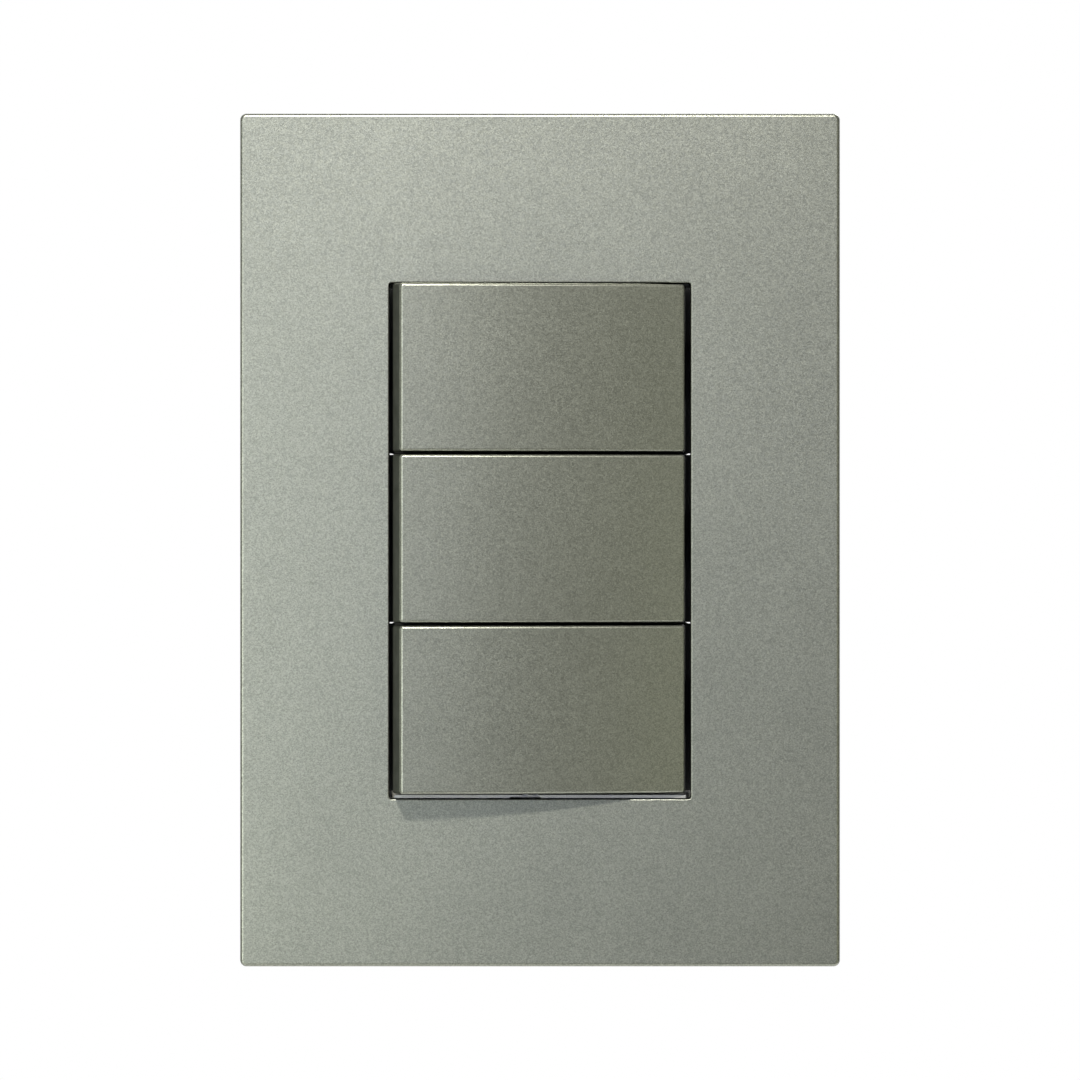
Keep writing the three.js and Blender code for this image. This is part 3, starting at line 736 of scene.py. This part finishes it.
def snap_tabs():
    """The four tabs behind the cover plate, each with a nib that hooks under the frame's catch."""
    inner = SNAP["x"] + SNAP["post_half"] + SNAP["tab_gap"]
    root = COVER["front"] + COVER["face"] - PAST / 2
    tabs = []
    for side in (-1, 1):
        for level in (-SNAP["z"], SNAP["z"]):
            z = (level - SNAP["tab_length"] / 2, level + SNAP["tab_length"] / 2)
            tab = block(side_span(side, inner, inner + SNAP["tab_thickness"]), (root, SNAP["tab_end"]), z)
            nib_x = side_span(side, inner - SNAP["nib_depth"], inner + SNAP["tab_thickness"] / 2)
            nib = block(nib_x, (SNAP["tab_end"] - SNAP["nib_height"], SNAP["tab_end"]), z)
            tabs.append(soften(combine(tab, [nib])))
    return tabs


def cover_plate():
    """The plate as one closed skin: out over the rim and the front, and back through the opening."""
    c = COVER
    o = OPENING
    front = c["front"]
    r = c["rim_round"]
    e = c["edge"]
    inside = c["draft"] + c["wall"]
    outside = [
        *arc((inside - r, -r), r, 0, 90),
        *arc((r, -r), r, 90, 180),
        *arc((c["draft"] + e, front + e), e, 180, 270),
    ]
    t = o["lip_round"]
    lip = o["lip"]
    mouth = [
        *arc((o["edge"], front + o["edge"]), o["edge"], 270, 180),
        *arc((t, o["lip_end"] - t), t, 180, 90),
        *arc((lip - t, o["lip_end"] - t), t, 90, 0),
        (lip, front + c["face"]),
    ]
    rings = []
    for inset, y in outside:
        corner = max(c["corner"] - inset, c["least_corner"])
        rings.append(ring(c["half_x"] - inset, c["half_z"] - inset, corner, y))
    middle = (0, -o["drop"])
    for out, y in mouth:
        rings.append(ring(o["half_x"] + out, o["half_z"] + out, o["corner"] + out, y, middle))
    inner = (c["half_x"] - inside, c["half_z"] - inside)
    rings.append(ring(*inner, c["inner_corner"], front + c["face"]))
    return combine(skin(rings, closed=True), snap_tabs())


def unpainted_inside(centre):
    """Whether a face of the cover plate is on the bare plastic behind it."""
    c = COVER
    behind = centre.y > c["front"] + c["paint_depth"]
    side_wall = abs(centre.x) > c["half_x"] - c["paint_reach"]
    end_wall = abs(centre.z) > c["half_z"] - c["paint_reach"]
    return behind and not (side_wall or end_wall)


def snap_posts():
    """The posts on the frame that the cover plate's tabs snap past."""
    posts = []
    near = SNAP["x"] - SNAP["post_half"]
    far = SNAP["x"] + SNAP["post_half"]
    for side in (-1, 1):
        for level in (-SNAP["z"], SNAP["z"]):
            z = (level - SNAP["post_length"] / 2, level + SNAP["post_length"] / 2)
            post = block(side_span(side, near, far), (SNAP["post_front"], FRAME["front"] + OVER), z)
            catch_y = (SNAP["post_front"], SNAP["post_front"] + SNAP["catch_height"])
            catch = block(side_span(side, near, far + SNAP["catch_depth"]), catch_y, z)
            posts.append(combine(post, [catch]))
    return posts


def sill():
    """The thin ledge that stands forward under the lowest key, with its notches."""
    s = SILL
    low = s["top"] - s["thickness"]
    wall = block(centred(s["half_x"]), (s["front"], FRAME["front"] + OVER), (low, s["top"]))
    notch_y = (s["front"] - PAST, s["front"] + s["notch_depth"])
    notches = [block(notch_x, notch_y, (s["top"] - PAST, s["top"] + PAST)) for notch_x in s["notches"]]
    undercut = block(s["undercut"], notch_y, (low - PAST, low + s["undercut_height"]))
    return combine(wall, cut=[*notches, undercut])


def on_highlight_painted_sill(centre):
    """Whether a face of the frame is on the ledge, which gets a painted highlight: a far lighter, shinier
    plastic than the rest of the frame, so that it shows as a bright strip.
    """
    s = SILL
    in_height = s["top"] - s["thickness"] <= centre.z <= s["top"]
    return abs(centre.x) <= s["half_x"] and in_height and centre.y < FRAME["front"]


def rear_pockets():
    """Shallow coring pockets in the back of the frame, beside the window and in its corners."""
    y = (FRAME["back"] - FRAME["pocket_depth"], FRAME["back"] + PAST)
    corner = FRAME["pocket_corner"]
    pockets = []
    for side in (-1, 1):
        for p in (SIDE_POCKET, CORNER_POCKET):
            for level in p["levels"]:
                pockets.append(slab(p["half_x"], p["half_z"], corner, *y, (side * p["x"], level)))
    return pockets


def support_frame():
    f = FRAME
    through = (f["front"] - PAST, PAST)
    sheet = slab(f["half_x"], f["half_z"], f["corner"], f["front"], f["back"])
    cuts = [slab(f["window_x"], f["window_z"], f["window_corner"], *through)]
    adds = []
    for level in (-1, 1):
        middle = (0, level * BOX_SCREW["spacing"] / 2)
        adds.append(slab(f["pad_x"], f["pad_z"], f["pad_z"] - HAIR, f["front"] + OVER, 0, middle))
        half = BOX_SCREW["slot_width"] / 2
        cuts.append(slab(BOX_SCREW["slot_length"] / 2, half, half - HAIR, *through, middle))
        for side in (-1, 1):
            cuts.append(bar_y(f["hole_radius"], through, side * f["hole_x"], level * f["hole_z"]))
    rib_y = (f["front"] - f["rib_height"], f["front"] + OVER)
    for side in (-1, 1):
        adds.append(block(side_span(side, f["rib_in"], f["rib_out"]), rib_y, centred(f["rib_half"])))
    plain = combine(sheet, [*adds, *snap_posts()], [*cuts, *rear_pockets()])
    return combine(plain, [sill()])


def box_screw():
    s = BOX_SCREW
    front = s["head_back"] - s["head_height"]
    head = pan_head(s["head_radius"], front, s["head_back"])
    drive_y = (front - PAST, front + s["drive_depth"])
    drive = block(centred(s["head_radius"] + PAST), drive_y, centred(s["drive_width"] / 2))
    return combine(screw(head, s["shank"], (s["head_back"], s["tip"]), 1), cut=[drive])


# ---------------------------------------------------------------- what rocks with the key


def crown_drop(x):
    """How far behind its middle line the key's crowned face is at x."""
    return x**2 / (2 * KEY["crown_radius"])


def crowned(bm):
    """Bends the key's flat front and its rounded edges to a wide cylinder about an upright line."""
    k = KEY
    for i in range(1, CROWN_STEPS):
        x = k["half_x"] * (2 * i / CROWN_STEPS - 1)
        everything = [*bm.verts, *bm.edges, *bm.faces]
        bmesh.ops.bisect_plane(bm, geom=everything, plane_co=(x, 0, 0), plane_no=(1, 0, 0))
    for vert in bm.verts:
        if vert.co.y < k["front"] + k["face"] / 2:
            vert.co.y += crown_drop(vert.co.x)
    return bm


def rocker_key():
    """The key as a cup: its hollow, its back rim, its sides and its crowned front, with two ribs."""
    k = KEY
    span = k["back"] - k["front"]
    inner_x = k["half_x"] - k["wall"]
    inner_z = k["half_z"] - k["wall"]
    e = k["edge"]
    floor = k["front"] + k["face"]
    inner_draft = k["end_draft"] * (floor - k["front"]) / span
    rings = [
        ring(inner_x + inner_draft, inner_z, k["inner_corner"], floor),
        ring(inner_x + k["end_draft"], inner_z, k["inner_corner"], k["back"]),
        ring(k["half_x"] + k["end_draft"], k["half_z"] + k["side_draft"], k["corner"], k["back"]),
    ]
    for inset, y in arc((e, k["front"] + e), e, 180, 270):
        rings.append(ring(k["half_x"] - inset, k["half_z"] - inset, k["corner"] - inset, y))
    ribs = []
    for side in (-1, 1):
        z = centred(k["rib_half"])
        far = k["rib_x"] + k["rib_thickness"]
        rib = block(side_span(side, k["rib_x"], far), (floor - OVER, k["rib_end"]), z)
        hook_y = (k["rib_end"] - k["hook_height"], k["rib_end"])
        hook = block(side_span(side, k["rib_x"] - k["hook_reach"], far), hook_y, z)
        ribs.append(combine(rib, [hook]))
    return combine(crowned(skin(rings)), ribs)


def unpainted_key(centre):
    """Whether a face of the key is behind its painted front and the edge that rounds it."""
    return centre.y > KEY["front"] + crown_drop(centre.x) + KEY["edge"]


def rocker_cradle():
    c = CRADLE
    back = c["front"] + c["thickness"]
    table = block(centred(c["half_x"]), (c["front"], back), centred(c["half_z"]))
    adds = [bar_y(c["barrel_radius"], (back - OVER, c["barrel_end"]))]
    for side in (-1, 1):
        cheek_z = side_span(side, c["half_z"] - c["cheek"], c["half_z"])
        adds.append(block(centred(c["cheek_half"]), (c["front"], c["cheek_end"]), cheek_z))
        adds.append(bar_z(c["pin_radius"], side_span(side, c["half_z"] - OVER, c["pin_reach"])))
    bore = bar_y(c["bore_radius"], (c["bore_start"], c["barrel_end"] + PAST))
    return soften(combine(table, adds, [bore]), FINE)


def plunger():
    p = PLUNGER
    nose = p["tip"] - p["nose_length"]
    spigot = p["spigot_chamfer"]
    guide = p["guide_chamfer"]
    profile = [
        (0, p["spigot_start"]),
        (p["spigot_radius"] - spigot, p["spigot_start"]),
        (p["spigot_radius"], p["spigot_start"] + spigot),
        (p["spigot_radius"], p["guide_start"]),
        (p["guide_radius"] - guide, p["guide_start"]),
        (p["guide_radius"], p["guide_start"] + guide),
        (p["guide_radius"], p["guide_end"] - guide),
        (p["guide_radius"] - guide, p["guide_end"]),
        (p["stem_radius"], p["guide_end"]),
        (p["stem_radius"], nose),
    ]
    for i in range(1, ROUND_STEPS):
        angle = math.pi / 2 * i / ROUND_STEPS
        profile.append((p["stem_radius"] * math.cos(angle), nose + p["nose_length"] * math.sin(angle)))
    return turned([*profile, (0, p["tip"])])


def plunger_spring():
    """A compression spring about Y, with a closed turn at each end."""
    s = SPRING
    closed = s["closed_turns"]
    turns = s["open_turns"] + 2 * closed
    flat = s["closed_pitch"] * s["wire"]
    pitch = (s["end"] - s["start"] - 2 * closed * flat) / s["open_turns"]
    rings = []
    for i in range(turns * s["turn_steps"] + 1):
        turn = i / s["turn_steps"]
        low = min(turn, closed) * flat
        middle = min(max(turn - closed, 0), s["open_turns"]) * pitch
        high = max(turn - closed - s["open_turns"], 0) * flat
        y = s["start"] + low + middle + high
        angle = 2 * math.pi * turn
        points = []
        for k in range(s["wire_sides"]):
            around = 2 * math.pi * k / s["wire_sides"]
            radius = s["radius"] + s["wire"] * math.cos(around)
            x = radius * math.cos(angle)
            z = radius * math.sin(angle)
            points.append((x, y + s["wire"] * math.sin(around), z))
        rings.append(points)
    return skin(rings)


# ---------------------------------------------------------------- what stays with the wall


def module_bridge():
    """The top of a switch: it carries the cradle's pins and clips the switch into the frame."""
    b = BRIDGE
    plate = block(centred(b["half_x"]), (b["front"], b["back"]), centred(b["half_z"]))
    through = (b["front"] - PAST, b["back"] + PAST)
    adds = []
    cuts = [block(centred(b["slot_x"]), through, centred(b["slot_z"]))]
    pivot = PIVOT.y
    crown = arc((0, pivot), b["ear_radius"], 0, -180, EAR_STEPS)
    for side in (-1, 1):
        ear_z = side_span(side, b["ear_near"], b["ear_far"])
        foot = b["back"] - OVER
        adds.append(prism_z([(-b["ear_foot"], foot), (b["ear_foot"], foot), *crown], ear_z))
        hole_z = side_span(side, b["ear_near"] - PAST, b["ear_far"] + PAST)
        cuts.append(bar_z(b["ear_hole"], hole_z, 0, pivot))
        clip_z = centred(b["clip_half"])
        wall_y = (b["clip_front"], b["back"])
        wall = block(side_span(side, b["clip_near"], b["clip_far"]), wall_y, clip_z)
        hook_y = (b["clip_front"], b["clip_front"] + b["hook_thickness"])
        hook = block(side_span(side, b["clip_near"], b["clip_hook"]), hook_y, clip_z)
        rest_y = (b["shoulder_front"], b["back"])
        rest = block(side_span(side, b["clip_near"], b["shoulder"]), rest_y, clip_z)
        adds.append(combine(wall, [hook, rest]))
    return soften(combine(plate, adds, cuts), FINE)


def switch_housing():
    h = HOUSING
    shell = slab(h["half_x"], h["half_z"], h["corner"], h["front"], h["back"])
    floor = h["back"] - h["back_wall"]
    hollow_z = centred(h["half_z"] - h["wall"])
    cuts = [block(centred(h["half_x"] - h["wall"]), (h["front"] - PAST, floor), hollow_z)]
    through = (floor - PAST, h["back"] + PAST)
    groove_y = (h["back"] - h["groove_depth"], h["back"] + PAST)
    for side in (-1, 1):
        x = side * TERMINAL["x"]
        cuts.append(bar_y(h["screw_hole"], through, x, TERMINAL["screw_z"]))
        cuts.append(bar_y(h["wire_hole"], through, x, TERMINAL["wire_z"]))
        groove_x = side_span(side, h["groove_x"] - h["groove_half"], h["groove_x"] + h["groove_half"])
        cuts.append(block(groove_x, groove_y, centred(h["half_z"] + PAST)))
    return soften(combine(shell, cut=cuts))


def terminal_pad(side):
    """The part of a terminal strip that the clamp and its screw are on."""
    t = TERMINAL
    x = side_span(side, t["x"] - t["half_x"], t["x"] + t["half_x"])
    hole = bar_y(t["hole"], (t["front"] - PAST, t["back"] + PAST), side * t["x"], t["screw_z"])
    return combine(block(x, (t["front"], t["back"]), centred(t["half_z"])), cut=[hole])


def common_terminal():
    """The left-hand terminal, with the knife edge and the two prongs that hold the lever."""
    t = TERMINAL
    k = KNIFE
    y = (t["front"], t["back"])
    strip_x = (-(t["x"] - t["half_x"]) - OVER, k["half"])
    strip = block(strip_x, y, centred(t["strip_half"]))
    foot = block(centred(k["half"]), (k["root"], t["back"]), centred(k["outer_z"]))
    edge_tip = LEVER_PIVOT.y + LEVER["half"] + FIT
    root = k["root"] + OVER
    edge = prism_z([(-k["half"], root), (0, edge_tip), (k["half"], root)], centred(k["half_z"]))
    prongs = []
    for side in (-1, 1):
        prong_z = side_span(side, k["prong_near"], k["outer_z"])
        prongs.append(block(centred(k["half"]), (k["prong_top"], root), prong_z))
    return soften(combine(terminal_pad(-1), [strip, foot, edge, *prongs]), FINE)


def fixed_terminal():
    """The right-hand terminal, stepped forward to hold the fixed contact."""
    c = CONTACT
    z = centred(TERMINAL["strip_half"])
    tab = block((c["tab_in"], c["tab_out"]), (c["tab_front"], c["tab_back"]), z)
    riser_x = (c["tab_out"] - (c["tab_back"] - c["tab_front"]), c["tab_out"])
    riser = block(riser_x, (c["tab_front"], TERMINAL["front"] + OVER), z)
    hole = bar_y(c["hole"], (c["tab_front"] - PAST, c["tab_back"] + PAST), c["fixed_x"])
    return soften(combine(terminal_pad(1), [tab, riser], [hole]), FINE)


def clamp_plate():
    """A square washer with one edge turned forward, and grooves in its front that grip the wire."""
    t = TERMINAL
    half = t["clamp_z"]
    plate = block(centred(t["clamp_x"]), (t["clamp_front"], t["clamp_back"]), centred(half))
    lip_y = (t["clamp_front"] - t["clamp_lip"], t["clamp_back"])
    lip = block(centred(t["clamp_x"]), lip_y, (-half, -half + t["back"] - t["front"]))
    cuts = [bar_y(t["hole"], (t["clamp_front"] - PAST, t["clamp_back"] + PAST))]
    groove_y = (t["clamp_front"] - PAST / 2, t["clamp_front"] + t["groove_depth"])
    for i in (-1, 0, 1):
        z = t["groove_z"] + i * t["groove_pitch"]
        groove_z = (z - t["groove_half"], z + t["groove_half"])
        cuts.append(block(centred(t["clamp_x"] + PAST), groove_y, groove_z))
    return soften(combine(plate, [lip], cuts), FINE)


def terminal_screw():
    s = TERMINAL_SCREW
    head = pan_head(s["head_radius"], s["head_back"], s["head_front"])
    drive_y = (s["head_back"] - s["drive_depth"], s["head_back"] + PAST)
    drive = block(centred(s["head_radius"] + PAST), drive_y, centred(s["drive_width"] / 2))
    return combine(screw(head, s["shank"], (s["head_front"], s["tip"]), -1), cut=[drive])


def contact_lever():
    v = LEVER
    strip = block((v["left"], v["right"]), centred(v["half"]), centred(v["half_z"]))
    toe_x = (v["left"], v["left"] + 2 * v["half"])
    toe = block(toe_x, (-v["half"], v["toe"] - v["half"]), centred(v["half_z"]))
    through = centred(v["half"] + PAST)
    cuts = [bar_y(CONTACT["hole"], through, CONTACT["x"])]
    for side in (-1, 1):
        waist_z = side_span(side, v["waist_z"], v["half_z"] + PAST)
        cuts.append(block(centred(v["waist_x"]), through, waist_z))
    return soften(combine(strip, [toe], cuts), FINE)


def contact_rivet(side, thickness):
    """A domed rivet through a strip: the dome stands on side +1 (back) or -1 (front) of it."""
    c = CONTACT
    near = thickness / 2 + FIT
    top = near + c["height"] - FIT
    shoulder = near + c["rim"] - FIT
    back = -near - c["back_height"]
    profile = [
        (0, back),
        (c["back_radius"] - c["back_chamfer"], back),
        (c["back_radius"], back + c["back_chamfer"]),
        (c["back_radius"], -near),
        (c["shank"], -near),
        (c["shank"], near),
        (c["radius"], near),
        (c["radius"], shoulder),
    ]
    for i in range(1, ROUND_STEPS):
        angle = math.pi / 2 * i / ROUND_STEPS
        profile.append((c["radius"] * math.cos(angle), shoulder + (top - shoulder) * math.sin(angle)))
    profile.append((0, top))
    return turned([(radius, side * y) for radius, y in profile], RIVET_SIDES)


# ---------------------------------------------------------------- the assembly


def make_gang(gang):
    """Every piece of one switch, at its own height."""
    z = JOINTS[f"{gang}_rocker_pivot"]["pos_m"][2] / MM
    level = Matrix.Translation((0, 0, z))
    rocked = Matrix.Translation((0, PIVOT.y, z)) @ Matrix.Rotation(ROCK, 4, "Z")
    tipped = Matrix.Translation((0, LEVER_PIVOT.y, z)) @ Matrix.Rotation(-TIP, 4, "Z")
    make(f"rocker_key_{gang}", rocker_key(), [PAINT, CHARCOAL], rocked, unpainted_key)
    make(f"rocker_cradle_{gang}", rocker_cradle(), [CHARCOAL], rocked)
    make(f"plunger_{gang}", plunger(), [ACETAL], rocked)
    spring = make(f"plunger_spring_{gang}", plunger_spring(), [WIRE_STEEL], rocked)
    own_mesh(spring)
    make(f"module_bridge_{gang}", module_bridge(), [BRIDGE_NYLON], level)
    make(f"switch_housing_{gang}", switch_housing(), [HOUSING_NYLON], level)
    make(f"common_terminal_{gang}", common_terminal(), [BRASS], level)
    make(f"fixed_terminal_{gang}", fixed_terminal(), [BRASS], level)
    make(f"contact_lever_{gang}", contact_lever(), [BRASS], tipped)
    lever_rivet = contact_rivet(1, 2 * LEVER["half"])
    on_lever = tipped @ Matrix.Translation((CONTACT["x"], 0, 0))
    make(f"moving_contact_{gang}", lever_rivet, [SILVER], on_lever)
    tab = (CONTACT["tab_front"], CONTACT["tab_back"])
    on_tab = level @ Matrix.Translation((CONTACT["fixed_x"], sum(tab) / 2, 0))
    tab_rivet = contact_rivet(-1, tab[1] - tab[0])
    make(f"fixed_contact_{gang}", tab_rivet, [SILVER], on_tab)
    for hand, side in (("common", -1), ("switched", 1)):
        at = level @ Matrix.Translation((side * TERMINAL["x"], 0, TERMINAL["screw_z"]))
        make(f"clamp_plate_{hand}_{gang}", clamp_plate(), [ZINC], at)
        make(f"terminal_screw_{hand}_{gang}", terminal_screw(), [ZINC], at)


make("cover_plate", cover_plate(), [PAINT, CHARCOAL], second=unpainted_inside)
# the ledge's faces take the lighter, shinier plastic of the painted highlight
make("support_frame", support_frame(), [FRAME_PLASTIC, SILL_PAINTED_HIGHLIGHT], second=on_highlight_painted_sill)
for end, level in (("upper", 1), ("lower", -1)):
    at_slot = Matrix.Translation((0, 0, level * BOX_SCREW["spacing"] / 2))
    make(f"box_screw_{end}", box_screw(), [ZINC], at_slot)
for name in GANGS:
    make_gang(name)

# ---------------------------------------------------------------- floor, light and camera

CAMERA_DISTANCE = 0.8  # metres, from the plate's front
VIEW_WIDTH = 0.1519  # metres across the picture at the plate's front
NEAR_CLIP = 0.01  # metres
FLOOR = {"z": -0.25, "half_x": 0.45, "front": -0.2, "back": 0.4}  # metres
BACKDROP = 1.0  # brightness of the white behind the object, as the camera sees it
GLOW = {"dim": 0.01, "bright": 0.7, "bright_from": 0.6}  # the light that comes from all round


def floor():
    """A pale floor below the object, short enough to stay out of the main view."""
    bm = bmesh.new()
    spots = ((-1, FLOOR["front"]), (1, FLOOR["front"]), (1, FLOOR["back"]), (-1, FLOOR["back"]))
    bm.faces.new([bm.verts.new((side * FLOOR["half_x"], y, FLOOR["z"])) for side, y in spots])
    mesh = bpy.data.meshes.new("floor")
    bm.to_mesh(mesh)
    bm.free()
    made = Finish("floor")
    made.colour((0.8, 0.8, 0.79), made.between(made.noise(60, detail=3), 0.97, 1.03))
    made.roughness(made.between(made.noise(25), 0.6, 0.75))
    mesh.materials.append(made.material)
    obj = bpy.data.objects.new("floor", mesh)
    bpy.context.scene.collection.objects.link(obj)


def world():
    """White behind the object, and softer light all round that is strongest from behind it."""
    made = bpy.data.worlds.new("studio")
    bpy.context.scene.world = made
    made.use_nodes = True
    nodes = made.node_tree.nodes
    links = made.node_tree.links
    background = nodes["Background"]
    background.inputs["Color"].default_value = (1, 1, 1, 1)
    path = nodes.new("ShaderNodeLightPath")
    place = nodes.new("ShaderNodeTexCoord")
    split = nodes.new("ShaderNodeSeparateXYZ")
    links.new(place.outputs["Generated"], split.inputs["Vector"])
    ramp = nodes.new("ShaderNodeMapRange")
    ramp.inputs["From Max"].default_value = GLOW["bright_from"]
    ramp.inputs["To Min"].default_value = GLOW["dim"]
    ramp.inputs["To Max"].default_value = GLOW["bright"]
    links.new(split.outputs["Y"], ramp.inputs["Value"])
    strength = nodes.new("ShaderNodeMix")
    links.new(path.outputs["Is Camera Ray"], strength.inputs["Factor"])
    links.new(ramp.outputs["Result"], strength.inputs["A"])
    strength.inputs["B"].default_value = BACKDROP
    links.new(strength.outputs["Result"], background.inputs["Strength"])


def direction(azimuth, elevation):
    """The way from the object to something seen at these angles, in degrees, from its front."""
    sideways = Matrix.Rotation(math.radians(azimuth), 4, "Z")
    upwards = Matrix.Rotation(-math.radians(elevation), 4, "X")
    return sideways @ upwards @ Vector((0, -1, 0))


def lamp(name, azimuth, elevation, distance, size, power, colour=(1, 1, 1)):
    """A square light that faces the object from azimuth degrees to its right and elevation above."""
    light = bpy.data.lights.new(name, "AREA")
    light.shape = "SQUARE"
    light.size = size
    light.energy = power
    light.color = colour
    obj = bpy.data.objects.new(name, light)
    way = direction(azimuth, elevation)
    obj.location = way * distance
    obj.rotation_euler = (-way).to_track_quat("-Z", "Y").to_euler()
    obj.visible_camera = False
    bpy.context.scene.collection.objects.link(obj)


def camera():
    lens = bpy.data.cameras.new("camera")
    lens.lens = lens.sensor_width * CAMERA_DISTANCE / VIEW_WIDTH
    lens.clip_start = NEAR_CLIP
    obj = bpy.data.objects.new("camera", lens)
    obj.location = (0, COVER["front"] * MM - CAMERA_DISTANCE, 0)
    obj.rotation_euler = (math.pi / 2, 0, 0)
    bpy.context.scene.collection.objects.link(obj)
    bpy.context.scene.camera = obj


floor()
world()
lamp("key_light", -7.4, 38, distance=0.6, size=0.045, power=2.97, colour=(1.0, 0.96, 0.85))
lamp("front_softbox", -15, 10, distance=0.9, size=0.6, power=0.74, colour=(0.74, 0.79, 1.0))
lamp("left_softbox", -35, -10, distance=0.4, size=0.3, power=0.52, colour=(0.96, 1.0, 0.87))
lamp("right_fill", 45, -15, distance=0.9, size=0.6, power=0.36, colour=(0.96, 1.0, 0.5))
lamp("back_light", 150, 40, distance=0.9, size=0.5, power=4.0)
camera()
bpy.context.scene.view_settings.view_transform = "Standard"
